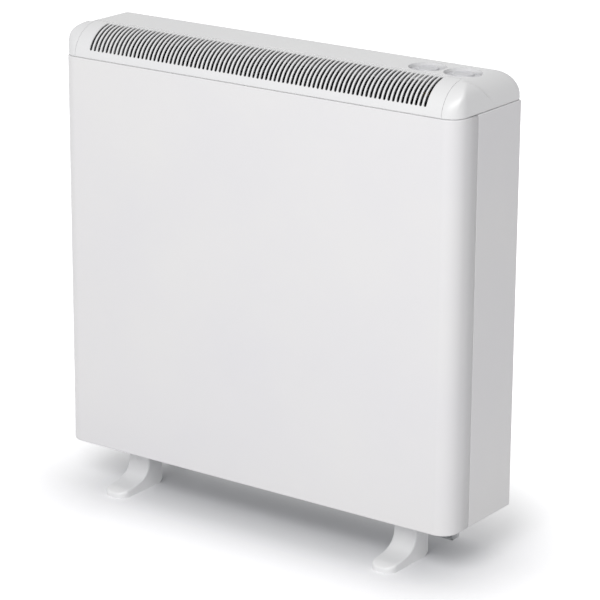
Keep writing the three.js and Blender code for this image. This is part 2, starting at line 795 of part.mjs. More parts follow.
// A hairpin: two straight legs along X and a half turn between them, in the XZ plane.
class Hairpin extends THREE.Curve {
  constructor(tailX, bendX, spacing, bendSteps) {
    super();
    Object.assign(this, { tailX, bendX, spacing, bendSteps });
  }

  // Each leg takes one step, so that the fine steps fall on the bend.
  getUtoTmapping(u) {
    return u;
  }

  getPoint(t, target = new THREE.Vector3()) {
    const step = t * (this.bendSteps + 2);
    const half = this.spacing / 2;
    if (step <= 1) {
      return target.set(this.tailX + (this.bendX - this.tailX) * step, 0, -half);
    }
    if (step >= this.bendSteps + 1) {
      const along = step - this.bendSteps - 1;
      return target.set(this.bendX + (this.tailX - this.bendX) * along, 0, half);
    }
    const angle = (Math.PI * (step - 1)) / this.bendSteps;
    return target.set(this.bendX - half * Math.sin(angle), 0, -half * Math.cos(angle));
  }
}

function element() {
  const tailX = partitionRightX + elementTail;
  const bendX = coreLeftX + bendInset;
  const bendSteps = 8;
  const path = new Hairpin(tailX, bendX, legSpacing, bendSteps);
  const pins = [-1, 1].map((step) => {
    return rod('x', pinRadius, [tailX - 1, tailX + pinLength], [0, step * legSpacing / 2], 8);
  });
  return tube(path, elementRadius, bendSteps + 2, 8).add(joined(pins));
}

// A strip with one eye for each element pin. side is 1 for the upper pins, -1 for the lower.
function busbar(side) {
  const x = partitionRightX + elementTail + busbarStandOff;
  const xs = [x, x + busbarSheet];
  const places = elementPlaces().map((z) => z + side * legSpacing / 2);
  const eye = busbarWidth;
  const stripYs = [side * busbarOffset, side * (busbarOffset + busbarWidth)].map((y) => coreMidY + y);
  const strip = block(xs, stripYs, [places[0] - eye, places[places.length - 1] + eye]);
  const tabs = places.map((z) => {
    return block(xs, [coreMidY - side * eye, stripYs[1]], [z - eye, z + eye]);
  });
  const holes = places.map((z) => rod('x', pinRadius + gap, [x - 1, x + 2], [coreMidY, z], 12));
  return cutBy(joined([strip, ...tabs]), holes);
}

function elements() {
  elementPlaces().forEach((z, i) => {
    addPart(`heating_element_${i + 1}`, element(), 'elementSheath', [0, coreMidY, z]);
  });
  addPart('live_busbar', busbar(1), 'brass');
  addPart('neutral_busbar', busbar(-1), 'brass');
}

// ---------- damper ----------

function flapXs() {
  return [airSlotX[0] - flapOverlap, airSlotX[1] + flapOverlap];
}

function damperFlap() {
  const xs = flapXs();
  const hubRadius = shaftHole + hubWall;
  const frontEdge = coreMidY - airSlotWidth / 2 - sheet - flapOverlap;
  const plateZ = [collarTopZ + gap, collarTopZ + gap + flapSheet];
  const plate = block(xs, [frontEdge, hingeY], plateZ);
  const lipZ = [plateZ[0] - flapSheet, plateZ[1]];
  const lip = block(xs, [frontEdge - flapSheet, frontEdge], lipZ);
  const hub = rod('x', hubRadius, xs, [hingeY, hingeZ], 20);
  const bore = rod('x', shaftHole, [xs[0] - 1, xs[1] + 1], [hingeY, hingeZ]);
  return joined([plate, lip, hub]).subtract(bore);
}

function damperShaft() {
  const span = [flapXs()[0] - 2 * bearingThickness, outputDialX + 2 * leverThickness];
  return rod('x', shaftRadius, span, [hingeY, hingeZ]);
}

function damperLever() {
  const xs = [outputDialX - leverThickness / 2, outputDialX + leverThickness / 2];
  const arm = block(xs, [hingeY - leverWidth / 2, hingeY + leverWidth / 2], [hingeZ, hingeZ + leverReach]);
  const hub = rod('x', shaftHole + 2 * hubWall, xs, [hingeY, hingeZ]);
  const bore = rod('x', shaftHole, [xs[0] - 1, xs[1] + 1], [hingeY, hingeZ]);
  return arm.add(hub).subtract(bore);
}

function damperBearing() {
  const outer = flapXs()[0] - gap;
  const xs = [outer - bearingThickness, outer];
  const base = shieldTopZ + sheet + gap;
  const ys = [hingeY - bearingWidth / 2, hingeY + bearingWidth / 2];
  const post = block(xs, ys, [base, hingeZ + bearingWidth / 2]);
  const foot = block([xs[0] - bearingWidth / 2, xs[1]], ys, [base, base + traySheet]);
  const bore = rod('x', shaftHole, [xs[0] - 1, xs[1] + 1], [hingeY, hingeZ]);
  return post.add(foot).subtract(bore);
}

// How far the cam's edge reaches when the dial has turned by this many degrees: up to the
// lever's near face at the height of the cam's lower edge, less the clearance.
function camRadius(turn) {
  const lean = THREE.MathUtils.degToRad((damperAngle * turn) / dialAngle);
  const nearFaceY = hingeY + camLift * Math.tan(lean) - leverWidth / 2 / Math.cos(lean);
  return nearFaceY - dialY - camClearance;
}

// A snail cam about the dial's axis. Its edge grows anticlockwise from the side of the lever.
function outputCam() {
  const points = [];
  for (let i = 0; i <= camSteps; i += 1) {
    const turn = (dialAngle * i) / camSteps;
    const angle = THREE.MathUtils.degToRad(90 + turn);
    points.push([camRadius(turn) * Math.cos(angle), camRadius(turn) * Math.sin(angle)]);
  }
  const disc = prismZ(outline(points), [0, camThickness]);
  const hub = rod('z', shaftHole + 2 * hubWall, [-camThickness, camThickness], [0, 0]);
  return disc.add(hub).subtract(rod('z', shaftHole, [-2 * camThickness, 2 * camThickness], [0, 0]));
}

function damper() {
  addPart('damper_flap', damperFlap(), 'galvanised');
  addPart('damper_shaft', damperShaft(), 'plainSteel');
  addPart('damper_lever', damperLever(), 'plainSteel');
  addPart('damper_bearing', damperBearing(), 'galvanised');
}

// ---------- dials and controls ----------

// A round knob about its own axis, with a raised crown and a small round mark near its edge.
function knob() {
  const radius = wellRadius - knobGap;
  const crownTop = knobSkirtHeight + knobCrownHeight;
  const skirt = rod('z', radius, [0, knobSkirtHeight], [0, 0], 32);
  const crown = rod('z', knobCrownRadius, [knobSkirtHeight - 1, crownTop], [0, 0], 24);
  const dimple = rod('z', knobDimpleRadius, [crownTop - knobDimpleDepth, crownTop + 1], [0, 0], 20);
  const markReach = (knobCrownRadius + radius) / 2;
  const markAngle = THREE.MathUtils.degToRad(knobMarkAngle);
  const markPlace = [markReach * Math.cos(markAngle), markReach * Math.sin(markAngle)];
  const mark = rod('z', knobMarkRadius, [knobMarkHeight, knobSkirtHeight + knobMarkHeight], markPlace, 12);
  const bore = rod('z', shaftHole, [-1, knobBoreDepth], [0, 0]);
  return joined([skirt, crown, mark]).subtract(dimple).subtract(bore);
}

function dials() {
  const shaftTop = knobBaseZ + knobBoreDepth - gap;
  const camFootZ = camBaseZ - camThickness;
  addPart('output_knob', knob(), 'dialPlastic', [outputDialX, dialY, knobBaseZ]);
  addPart('input_knob', knob(), 'dialPlastic', [inputDialX, dialY, knobBaseZ]);
  const outputShaft = rod('z', shaftRadius, [camFootZ, shaftTop], [0, 0]);
  const inputShaft = rod('z', shaftRadius, [controlPlateZ, shaftTop], [0, 0]);
  addPart('output_shaft', outputShaft, 'plainSteel', [outputDialX, dialY, 0]);
  addPart('input_shaft', inputShaft, 'plainSteel', [inputDialX, dialY, 0]);
  addPart('output_cam', outputCam(), 'blackPlastic', [outputDialX, dialY, camBaseZ]);
}

// A folded bridge that stands on the partition's shelf and the side panel's top flange.
function controlBracket() {
  const leftX = outputDialX - camRadius(dialAngle) - controlMargin;
  const rightX = halfWidth - flange - controlMargin;
  const top = controlPlateZ + bracketPlateSheet;
  const ys = [dialY - controlBracketDepth / 2, dialY + controlBracketDepth / 2];
  const shelfZ = partitionTopZ + gap;
  const rimZ = seamZ + gap;
  const bracketParts = [
    block([leftX, rightX], ys, [controlPlateZ, top]),
    block([leftX - bracketPlateSheet, leftX], ys, [shelfZ, top]),
    block([leftX - controlFoot, leftX], ys, [shelfZ, shelfZ + bracketPlateSheet]),
    block([rightX, rightX + bracketPlateSheet], ys, [rimZ, top]),
    block([rightX, rightX + controlFoot], ys, [rimZ, rimZ + bracketPlateSheet]),
  ];
  const holes = [outputDialX, inputDialX].map((x) => {
    return rod('z', neckRadius + gap, [controlPlateZ - 1, top + 1], [x, dialY]);
  });
  return cutBy(joined(bracketParts), holes);
}

function outputBush() {
  const zs = [controlPlateZ - bushFlangeRadius / 2, controlPlateZ + bracketPlateSheet + gap];
  const barrel = rod('z', neckRadius, zs, [0, 0]);
  const collar = rod('z', bushFlangeRadius, [zs[1], zs[1] + bushFlange], [0, 0]);
  const bore = rod('z', shaftHole, [zs[0] - 1, zs[1] + bushFlange + 1], [0, 0]);
  return barrel.add(collar).subtract(bore);
}

function chargeThermostat() {
  const [width, depth, height] = thermostatSize;
  const zs = [controlPlateZ - gap - height, controlPlateZ - gap];
  const body = block([-width / 2, width / 2], [-depth / 2, depth / 2], zs);
  const neck = rod('z', neckRadius, [zs[1] - 1, zs[1] + neckHeight], [0, 0]);
  const bore = rod('z', shaftHole, [controlPlateZ - gap, zs[1] + neckHeight + 1], [0, 0]);
  const tabYs = [-depth / 2 - tabLength, -depth / 2 + 1];
  const tabs = [-1, 1].map((step) => {
    const x = step * width / 4;
    return block([x - tabWidth / 2, x + tabWidth / 2], tabYs, [zs[0] + tabLift, zs[0] + tabLift + tabSheet]);
  });
  return joined([body, neck, ...tabs]).subtract(bore);
}

// Where a lead ends under one of the thermostat's tabs. side is -1 for the left tab, 1 for the right.
function thermostatTab(side) {
  const [width, depth, height] = thermostatSize;
  const x = inputDialX + side * width / 4;
  const y = dialY - depth / 2 - tabLength / 2;
  return [x, y, controlPlateZ - gap - height + tabLift - leadGap];
}

function bulbY() {
  return coreMidY + bulbBack;
}

function bulbZ() {
  return coreTopZ + gap + topSlab / 2;
}

function bulbTipX() {
  return slabRightX - bulbLength;
}

// The sensing bulb lies in the top insulation. Its capillary rises to the thermostat's side.
function sensorBulb() {
  const bulb = rod('x', bulbRadius, [bulbTipX(), slabRightX - bulbRadius], [bulbY(), bulbZ()], 12);
  const endX = inputDialX - thermostatSize[0] / 2 - gap;
  const endZ = controlPlateZ - gap - thermostatSize[2] / 2;
  const endY = dialY + thermostatSize[1] / 4;
  const path = new THREE.CatmullRomCurve3([
    new THREE.Vector3(slabRightX - 2 * bulbRadius, bulbY(), bulbZ()),
    new THREE.Vector3(partitionRightX + capillaryLead, bulbY(), bulbZ()),
    new THREE.Vector3(partitionRightX + capillarySweep, bulbY() - 2, bulbZ() + 4),
    new THREE.Vector3(endX - 2 * capillaryLead, endY + 1, endZ),
    new THREE.Vector3(endX - gap, endY, endZ),
  ]);
  return bulb.add(tube(path, capillaryRadius, 14, 6));
}

function cutoutPlace() {
  return { y: coreMidY - 2 * legSpacing / 3, z: coreTopZ - brickHeight / 2 };
}

function thermalCutout() {
  const x = partitionRightX + gap;
  const centre = [0, 0];
  const base = rod('x', cutoutRadius, [x, x + cutoutHeight], centre);
  const rim = rod('x', cutoutRadius + cutoutRim, [x, x + cutoutRim], centre);
  const tabXs = [x + cutoutHeight - 1, x + cutoutHeight + tabLength];
  const tabs = [-1, 1].map((step) => {
    const ys = [step * cutoutTabPlace, step * (cutoutTabPlace + tabSheet)];
    return block(tabXs, ys, [-tabWidth / 2, tabWidth / 2]);
  });
  return joined([base, rim, ...tabs]);
}

function blockPlace() {
  return [partitionRightX + gap, coreMidY, trayTopZ + blockLift];
}

// A terminal block about the middle of its foot, with walls between the ways.
function terminalBlock() {
  const [width, depth, height] = blockSize;
  const body = block([0, width], [-depth / 2, depth / 2], [0, height]);
  const cutters = [];
  for (let i = 0; i < blockWays; i += 1) {
    const y = (i - (blockWays - 1) / 2) * depth / blockWays;
    const wayYs = [y - wayWidth / 2, y + wayWidth / 2];
    cutters.push(block([width - wayReach, width + 1], wayYs, [height - wayDepth, height + 1]));
    const hole = [width - wayHoleInset, y];
    cutters.push(rod('z', wayHoleRadius, [wayHoleFloor, height + 1], hole, 12));
  }
  return cutBy(body, cutters);
}

function lead(points) {
  const path = new THREE.CatmullRomCurve3(points.map((point) => new THREE.Vector3(...point)));
  return tube(path, leadRadius, 16, 6);
}

// From the terminal block up the bay to the thermostat's right tab.
function supplyLead() {
  const [x, y, z] = blockPlace();
  const startX = x + blockSize[0] - wayHoleInset;
  const startY = y + blockSize[1] / blockWays;
  const startZ = z + blockSize[2] - wayDepth + gap;
  const [tabX, tabY, tabZ] = thermostatTab(1);
  const runX = halfWidth - sheet - leadWallGap;
  return lead([
    [startX, startY, startZ],
    [startX + leadRadius, startY, startZ + leadDrop],
    [runX, tabY, startZ + leadRise],
    [runX, tabY, (startZ + tabZ) / 2],
    [runX, tabY, tabZ - 2 * leadRise],
    [tabX, tabY, tabZ - leadDrop],
    [tabX, tabY, tabZ],
  ]);
}

// From the thermostat's left tab down to the cut-out.
function cutoutLead() {
  const { y, z } = cutoutPlace();
  const [tabX, tabY, tabZ] = thermostatTab(-1);
  const endX = partitionRightX + gap + cutoutHeight + tabLength + gap;
  const endY = y + cutoutTabPlace + tabSheet / 2;
  return lead([
    [tabX, tabY, tabZ],
    [tabX, tabY, tabZ - leadDrop],
    [endX + leadDrop, y, z + leadDrop],
    [endX + leadDrop / 2, endY, z],
    [endX, endY, z],
  ]);
}

function cableGland() {
  const ys = [backInnerY - glandInner, backOuterY + gap];
  const barrel = rod('y', glandRadius, [ys[0], ys[1] + 1], [glandX, glandZ]);
  const collar = rod('y', glandFlangeRadius, [ys[1], ys[1] + glandFlange], [glandX, glandZ]);
  const bore = rod('y', glandBore, [ys[0] - 1, ys[1] + glandFlange + 1], [glandX, glandZ]);
  return barrel.add(collar).subtract(bore);
}

function earthStud() {
  const stud = rod('z', earthRadius, [0, earthHeight], [0, 0]);
  const nut = rod('z', earthNutRadius, [0, earthNutHeight], [0, 0], 6);
  const washer = rod('z', earthNutRadius, [earthHeight / 2, earthHeight / 2 + 1], [0, 0]);
  return joined([stud, nut, washer]);
}

// ---------- assembly ----------

function buildCase() {
  addPart('front_panel', frontPanel(), 'whitePaint');
  addPart('side_panel_left', sidePanel(-1), 'whitePaint');
  addPart('side_panel_right', sidePanel(1), 'whitePaint');
  addPart('back_panel', backPanel(), 'whitePaint');
  addPart('base_tray', baseTray(), 'galvanised');
  addPart('top_cover', topCover(), 'whitePlastic');
  addPart('front_grille', grille(), 'whitePlastic');
}

function buildSupports() {
  for (const [label, side] of [['left', -1], ['right', 1]]) {
    const legY = rearY - legInset - legDepth / 2;
    addPart(`front_foot_${label}`, frontFoot(), 'whitePlastic', [side * footX, frontY, 0]);
    addPart(`rear_leg_${label}`, rearLeg(), 'galvanised', [side * footX, legY, 0]);
    addPart(`wall_bracket_${label}`, wallBracket(side), 'galvanised');
  }
}

function buildCore() {
  addPart('shield_front', shieldFront(), 'galvanised');
  addPart('shield_top', shieldTop(), 'galvanised');
  addPart('partition_left', partitionLeft(), 'galvanised');
  addPart('partition_right', partitionRight(), 'galvanised');
  slabs();
  bricks();
  elements();
}

function buildControls() {
  damper();
  dials();
  const { y, z } = cutoutPlace();
  addPart('control_bracket', controlBracket(), 'galvanised');
  addPart('output_bush', outputBush(), 'brass', [outputDialX, dialY, 0]);
  addPart('charge_thermostat', chargeThermostat(), 'ceramic', [inputDialX, dialY, 0]);
  addPart('sensor_bulb', sensorBulb(), 'plainSteel');
  addPart('thermal_cutout', thermalCutout(), 'blackPlastic', [0, y, z]);
  addPart('terminal_block', terminalBlock(), 'ceramic', blockPlace());
  addPart('cable_gland', cableGland(), 'blackPlastic');
  addPart('earth_stud', earthStud(), 'brass', [glandX, dialY, trayTopZ + gap]);
  addPart('supply_lead', supplyLead(), 'leadSleeve');
  addPart('cutout_lead', cutoutLead(), 'leadSleeve');
}

buildCase();
buildSupports();
buildCore();
buildControls();

export default heater;
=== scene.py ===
import json
from math import pi, radians

import bmesh
import bpy
import numpy as np
from mathutils import Matrix, Vector


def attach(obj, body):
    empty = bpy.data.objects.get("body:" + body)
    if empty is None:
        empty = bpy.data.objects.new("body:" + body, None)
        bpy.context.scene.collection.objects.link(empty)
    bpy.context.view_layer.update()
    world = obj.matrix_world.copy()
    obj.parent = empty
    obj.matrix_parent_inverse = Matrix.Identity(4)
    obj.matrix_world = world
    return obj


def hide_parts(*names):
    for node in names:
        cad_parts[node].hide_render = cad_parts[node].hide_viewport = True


# A white storage heater: a steel case with rounded corners under a slotted plastic cap.
# All sizes below are in millimetres, in the CAD's frame: +X right, +Y to the wall, +Z up.
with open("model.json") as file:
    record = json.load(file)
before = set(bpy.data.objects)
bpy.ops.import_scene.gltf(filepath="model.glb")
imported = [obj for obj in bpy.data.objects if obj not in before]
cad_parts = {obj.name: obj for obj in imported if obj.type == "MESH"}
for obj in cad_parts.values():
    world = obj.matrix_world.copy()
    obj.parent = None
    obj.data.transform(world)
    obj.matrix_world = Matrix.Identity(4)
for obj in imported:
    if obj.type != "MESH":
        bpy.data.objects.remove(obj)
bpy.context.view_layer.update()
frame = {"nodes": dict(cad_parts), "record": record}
cadNodes = frame["nodes"]
print("frame loaded,", len(cadNodes), "nodes")


def srgb(red, green, blue):
    # A colour as it is written on screen, 0 to 255, turned into linear light.
    level = np.array([red, green, blue]) / 255.0
    linear = np.where(level <= 0.04045, level / 12.92, ((level + 0.055) / 1.055) ** 2.4)
    return (*[float(v) for v in linear], 1.0)


# ---- shader helpers: each adds one node and joins it up

def newMaterial(name, color, roughness, metallic=0.0):
    material = bpy.data.materials.new(name)
    material.use_nodes = True
    tree = material.node_tree
    shader = tree.nodes["Principled BSDF"]
    shader.inputs["Base Color"].default_value = color
    shader.inputs["Roughness"].default_value = roughness
    shader.inputs["Metallic"].default_value = metallic
    return material, tree, shader


def place(tree, stretch=(1.0, 1.0, 1.0)):
    coords = tree.nodes.new("ShaderNodeTexCoord")
    mapping = tree.nodes.new("ShaderNodeMapping")
    mapping.inputs["Scale"].default_value = stretch
    tree.links.new(coords.outputs["Object"], mapping.inputs["Vector"])
    return mapping.outputs["Vector"]


def noise(tree, vector, scale, detail=2.0, roughness=0.5):
    node = tree.nodes.new("ShaderNodeTexNoise")
    node.inputs["Scale"].default_value = scale
    node.inputs["Detail"].default_value = detail
    node.inputs["Roughness"].default_value = roughness
    tree.links.new(vector, node.inputs["Vector"])
    return node.outputs["Fac"]


def cells(tree, vector, scale, feature="F1", output="Distance"):
    node = tree.nodes.new("ShaderNodeTexVoronoi")
    node.feature = feature
    node.inputs["Scale"].default_value = scale
    tree.links.new(vector, node.inputs["Vector"])
    return node.outputs[output]


def remap(tree, value, low, high, toLow, toHigh):
    node = tree.nodes.new("ShaderNodeMapRange")
    for name, number in (("From Min", low), ("From Max", high), ("To Min", toLow), ("To Max", toHigh)):
        node.inputs[name].default_value = number
    tree.links.new(value, node.inputs["Value"])
    return node.outputs["Result"]


def blendColor(tree, factor, first, second):
    node = tree.nodes.new("ShaderNodeMix")
    node.data_type = "RGBA"
    node.inputs["A"].default_value = first
    node.inputs["B"].default_value = second
    tree.links.new(factor, node.inputs["Factor"])
    return node.outputs["Result"]


def addBump(tree, shader, height, strength, distance, under=None):
    node = tree.nodes.new("ShaderNodeBump")
    node.inputs["Strength"].default_value = strength
    node.inputs["Distance"].default_value = distance
    tree.links.new(height, node.inputs["Height"])
    if under:
        tree.links.new(under, node.inputs["Normal"])
    tree.links.new(node.outputs["Normal"], shader.inputs["Normal"])
    return node.outputs["Normal"]


# ---- finishes

def powderCoat():
    # Baked white powder: a fine orange peel of about 1 mm, over slow waves in the sheet.
    material, tree, shader = newMaterial("whitePowderCoat", srgb(230, 229, 230), 0.4)
    vector = place(tree)
    tone = remap(tree, noise(tree, vector, 5.0, 3.0), 0.3, 0.7, 0.0, 1.0)
    color = blendColor(tree, tone, srgb(229, 228, 230), srgb(232, 231, 231))
    tree.links.new(color, shader.inputs["Base Color"])
    gloss = remap(tree, noise(tree, vector, 260.0, 2.0), 0.3, 0.7, 0.36, 0.46)
    tree.links.new(gloss, shader.inputs["Roughness"])
    waves = addBump(tree, shader, noise(tree, vector, 7.0, 1.0), 0.12, 0.004)
    addBump(tree, shader, noise(tree, vector, 850.0, 1.5), 0.1, 0.0003, waves)
    return material


def mouldedPlastic(name, light, dark, gloss):
    # Moulded thermoplastic: a faint spark-eroded grain, and a slow change of tone from the flow.
    material, tree, shader = newMaterial(name, light, gloss)
    vector = place(tree)
    flow = remap(tree, noise(tree, vector, 9.0, 2.0), 0.3, 0.7, 0.0, 1.0)
    tree.links.new(blendColor(tree, flow, light, dark), shader.inputs["Base Color"])
    grain = noise(tree, vector, 1400.0, 1.0)
    tree.links.new(remap(tree, grain, 0.3, 0.7, gloss - 0.03, gloss + 0.05), shader.inputs["Roughness"])
    addBump(tree, shader, grain, 0.08, 0.0002)
    return material


def shadedInsideBackCoat():
    # The back panel is white on its outside. Before its outer skin it is a dark grey that is painted shade:
    # it keeps the inside seen through the grille's slots dark.
    material, tree, shader = newMaterial("shadedInsideBackCoat", srgb(230, 229, 230), 0.45)
    split = tree.nodes.new("ShaderNodeSeparateXYZ")
    tree.links.new(place(tree), split.inputs[0])
    outside = remap(tree, split.outputs["Y"], 0.0832, 0.0836, 0.0, 1.0)
    # dark grey inside the skin, white outside it: the dark grey is painted shade, not the sheet's own colour
    color = blendColor(tree, outside, srgb(64, 66, 68), srgb(230, 229, 230))
    tree.links.new(color, shader.inputs["Base Color"])
    return material


def zincSheet(name, dark, light, metallic):
    # Hot-dip zinc: spangles of 6 to 10 mm, each with its own shade and gloss.
    material, tree, shader = newMaterial(name, light, 0.4, metallic)
    vector = place(tree)
    wobble = noise(tree, vector, 60.0, 2.0)
    spangle = cells(tree, vector, 130.0, output="Color")
    gray = tree.nodes.new("ShaderNodeRGBToBW")
    tree.links.new(spangle, gray.inputs["Color"])
    shade = remap(tree, gray.outputs["Val"], 0.2, 0.8, 0.0, 1.0)
    tree.links.new(blendColor(tree, shade, dark, light), shader.inputs["Base Color"])
    tree.links.new(remap(tree, gray.outputs["Val"], 0.2, 0.8, 0.32, 0.52), shader.inputs["Roughness"])
    addBump(tree, shader, wobble, 0.12, 0.0004)
    return material


def drawnMetal(name, light, dark, gloss, along):
    # Drawn or turned metal: fine lines along one axis.
    material, tree, shader = newMaterial(name, light, gloss, 1.0)
    stretch = [900.0, 900.0, 900.0]
    stretch[along] = 14.0
    lines = noise(tree, place(tree, tuple(stretch)), 1.0, 2.0)
    tree.links.new(blendColor(tree, lines, light, dark), shader.inputs["Base Color"])
    tree.links.new(remap(tree, lines, 0.3, 0.7, gloss - 0.08, gloss + 0.1), shader.inputs["Roughness"])
    addBump(tree, shader, lines, 0.1, 0.0002)
    return material


def firedBrick():
    # Pressed iron-oxide brick: dark grains, pits and a dusty face.
    material, tree, shader = newMaterial("firedBrick", srgb(88, 76, 70), 0.92)
    vector = place(tree)
    grains = cells(tree, vector, 420.0)
    dust = noise(tree, vector, 28.0, 4.0, 0.6)
    tree.links.new(blendColor(tree, dust, srgb(70, 58, 53), srgb(112, 98, 90)), shader.inputs["Base Color"])
    pits = addBump(tree, shader, grains, 0.45, 0.0008)
    addBump(tree, shader, dust, 0.3, 0.0015, pits)
    return material


def fibreBoard():
    # Pressed mineral fibre: matted strands in a pale board.
    material, tree, shader = newMaterial("fibreBoard", srgb(216, 211, 198), 1.0)
    strands = noise(tree, place(tree, (220.0, 900.0, 900.0)), 1.0, 4.0, 0.7)
    clumps = noise(tree, place(tree), 45.0, 4.0, 0.6)
    color = blendColor(tree, clumps, srgb(198, 190, 172), srgb(230, 226, 215))
    tree.links.new(color, shader.inputs["Base Color"])
    matted = addBump(tree, shader, strands, 0.5, 0.001)
    addBump(tree, shader, clumps, 0.4, 0.002, matted)
    return material


def heatStainedSteel():
    # Element sheath: straw, blue and grey heat colours in soft bands.
    material, tree, shader = newMaterial("heatStainedSteel", srgb(112, 106, 100), 0.45, 0.9)
    bands = noise(tree, place(tree, (18.0, 60.0, 60.0)), 1.0, 3.0)
    tree.links.new(blendColor(tree, bands, srgb(92, 90, 98), srgb(134, 116, 92)), shader.inputs["Base Color"])
    addBump(tree, shader, noise(tree, place(tree), 900.0, 1.0), 0.1, 0.0003)
    return material


def blackPhenolic():
    material, tree, shader = newMaterial("blackPhenolic", srgb(38, 38, 39), 0.5)
    vector = place(tree)
    specks = noise(tree, vector, 700.0, 2.0)
    tree.links.new(blendColor(tree, specks, srgb(30, 30, 31), srgb(52, 52, 53)), shader.inputs["Base Color"])
    addBump(tree, shader, specks, 0.15, 0.0003)
    return material


def whiteCeramic():
    # Unglazed steatite: a chalky body with small dark specks.
    material, tree, shader = newMaterial("whiteCeramic", srgb(238, 233, 221), 0.6)
    vector = place(tree)
    specks = remap(tree, cells(tree, vector, 700.0), 0.05, 0.16, 0.0, 1.0)
    color = blendColor(tree, specks, srgb(205, 196, 178), srgb(240, 236, 226))
    tree.links.new(color, shader.inputs["Base Color"])
    addBump(tree, shader, noise(tree, vector, 500.0, 3.0), 0.15, 0.0003)
    return material


def leadSleeve():
    # Braided glass sleeve over the lead: small crossing cells.
    material, tree, shader = newMaterial("leadSleeve", srgb(120, 76, 54), 0.75)
    braid = cells(tree, place(tree, (1.0, 1.0, 0.6)), 1500.0)
    tree.links.new(blendColor(tree, braid, srgb(92, 56, 38), srgb(138, 92, 66)), shader.inputs["Base Color"])
    addBump(tree, shader, braid, 0.4, 0.0003)
    return material


finishes = {
    "white_paint": powderCoat(),
    "white_plastic": mouldedPlastic("whiteCapPlastic", srgb(233, 233, 233), srgb(230, 230, 231), 0.34),
    "dial_plastic": mouldedPlastic("dialPlastic", srgb(211, 211, 214), srgb(207, 207, 210), 0.36),
    "galvanised": zincSheet("zincSheet", srgb(160, 164, 168), srgb(194, 197, 199), 0.85),
    "plain_steel": drawnMetal("drawnSteel", srgb(150, 153, 156), srgb(128, 131, 134), 0.34, 0),
    "brass_parts": drawnMetal("drawnBrass", srgb(168, 142, 82), srgb(144, 120, 66), 0.36, 2),
    "storage_brick": firedBrick(),
    "insulation": fibreBoard(),
    "element_sheath": heatStainedSteel(),
    "black_plastic": blackPhenolic(),
    "white_ceramic": whiteCeramic(),
    "lead_sleeve": leadSleeve(),
}
# Finishes of single pieces, where a slot's own finish would not do.
# The feet's plastic, lighter than the cap's same white plastic, for the light that falls on the toes: painted
# light.
litFootPlastic = mouldedPlastic("litFootPlastic", srgb(242, 242, 242), srgb(239, 239, 240), 0.34)
# The rear legs' zinc, paled nearly to white and made non-metal, so that the bit of leg seen in the shade
# under the case takes the shadow's tone: painted light.
legZinc = zincSheet("legZinc", srgb(226, 227, 228), srgb(238, 239, 240), 0.0)
# Dark zinc for the inner parts seen through the grille's slots: painted shade, far darker than the zinc's own
# colour.
shadeDarkZinc = zincSheet("shadeDarkZinc", srgb(66, 68, 70), srgb(88, 90, 92), 0.6)
shadedInsideBack = shadedInsideBackCoat()
print("finishes made:", len(finishes) + 4)


# ---- mesh helpers

def gridFaces(rows, columns, closed=False):
    # The corner numbers of every face of a grid of points, stored row by row.
    row = np.arange(rows - 1)[:, None]
    column = np.arange(columns if closed else columns - 1)[None, :]
    near = row * columns + column
    far = row * columns + (column + 1) % columns
    return np.stack([near, far, far + columns, near + columns], -1)


def makePiece(name, surfaces, slotName, body, nodes=(), sharpAngle=40.0, closed=False, finish=None):
    # Joins grids of points into one mesh. Each surface is (points of shape rows x columns x 3,
    # whether the columns close into a ring, and a mask of the faces to keep, or None). The faces
    # are turned outwards: the sum of normal times way from the middle times area is positive.
    points, faces, offset = [], [], 0
    for grid, ring, keep in surfaces:
        rows, columns = grid.shape[:2]
        numbers = gridFaces(rows, columns, ring)
        chosen = numbers.reshape(-1, 4) if keep is None else numbers[keep]
        points.append(grid.reshape(-1, 3))
        faces.append(chosen + offset)
        offset += rows * columns
    mesh = bpy.data.meshes.new(name)
    mesh.from_pydata((np.concatenate(points) * 0.001).tolist(), [], np.concatenate(faces).tolist())
    work = bmesh.new()
    work.from_mesh(mesh)
    bmesh.ops.remove_doubles(work, verts=work.verts, dist=2e-6)
    bmesh.ops.dissolve_degenerate(work, edges=work.edges, dist=2e-6)
    loose = [v for v in work.verts if not v.link_faces]
    bmesh.ops.delete(work, geom=loose, context="VERTS")
    if closed:
        bmesh.ops.holes_fill(work, edges=work.edges, sides=0)
    bmesh.ops.recalc_face_normals(work, faces=work.faces)
    centre = sum((v.co for v in work.verts), Vector()) / len(work.verts)
    if sum(f.normal.dot(f.calc_center_median() - centre) * f.calc_area() for f in work.faces) < 0:
        bmesh.ops.reverse_faces(work, faces=work.faces)
    work.to_mesh(mesh)
    work.free()
    mesh.shade_smooth()
    mesh.set_sharp_from_angle(angle=radians(sharpAngle))
    piece = bpy.data.objects.new(name, mesh)
    bpy.context.scene.collection.objects.link(piece)
    mesh.materials.append(finish or finishes[slotName])
    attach(piece, body)
    if nodes:
        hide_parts(*nodes)
    return piece


def thicken(piece, wall):
    modifier = piece.modifiers.new("wall", "SOLIDIFY")
    modifier.thickness = wall * 0.001
    modifier.offset = -1.0


def roundEdges(piece, width, segments=2, angle=50.0):
    modifier = piece.modifiers.new("edges", "BEVEL")
    modifier.width = width * 0.001
    modifier.segments = segments
    modifier.limit_method = "ANGLE"
    modifier.angle_limit = radians(angle)
    modifier.use_clamp_overlap = True
    modifier.harden_normals = True


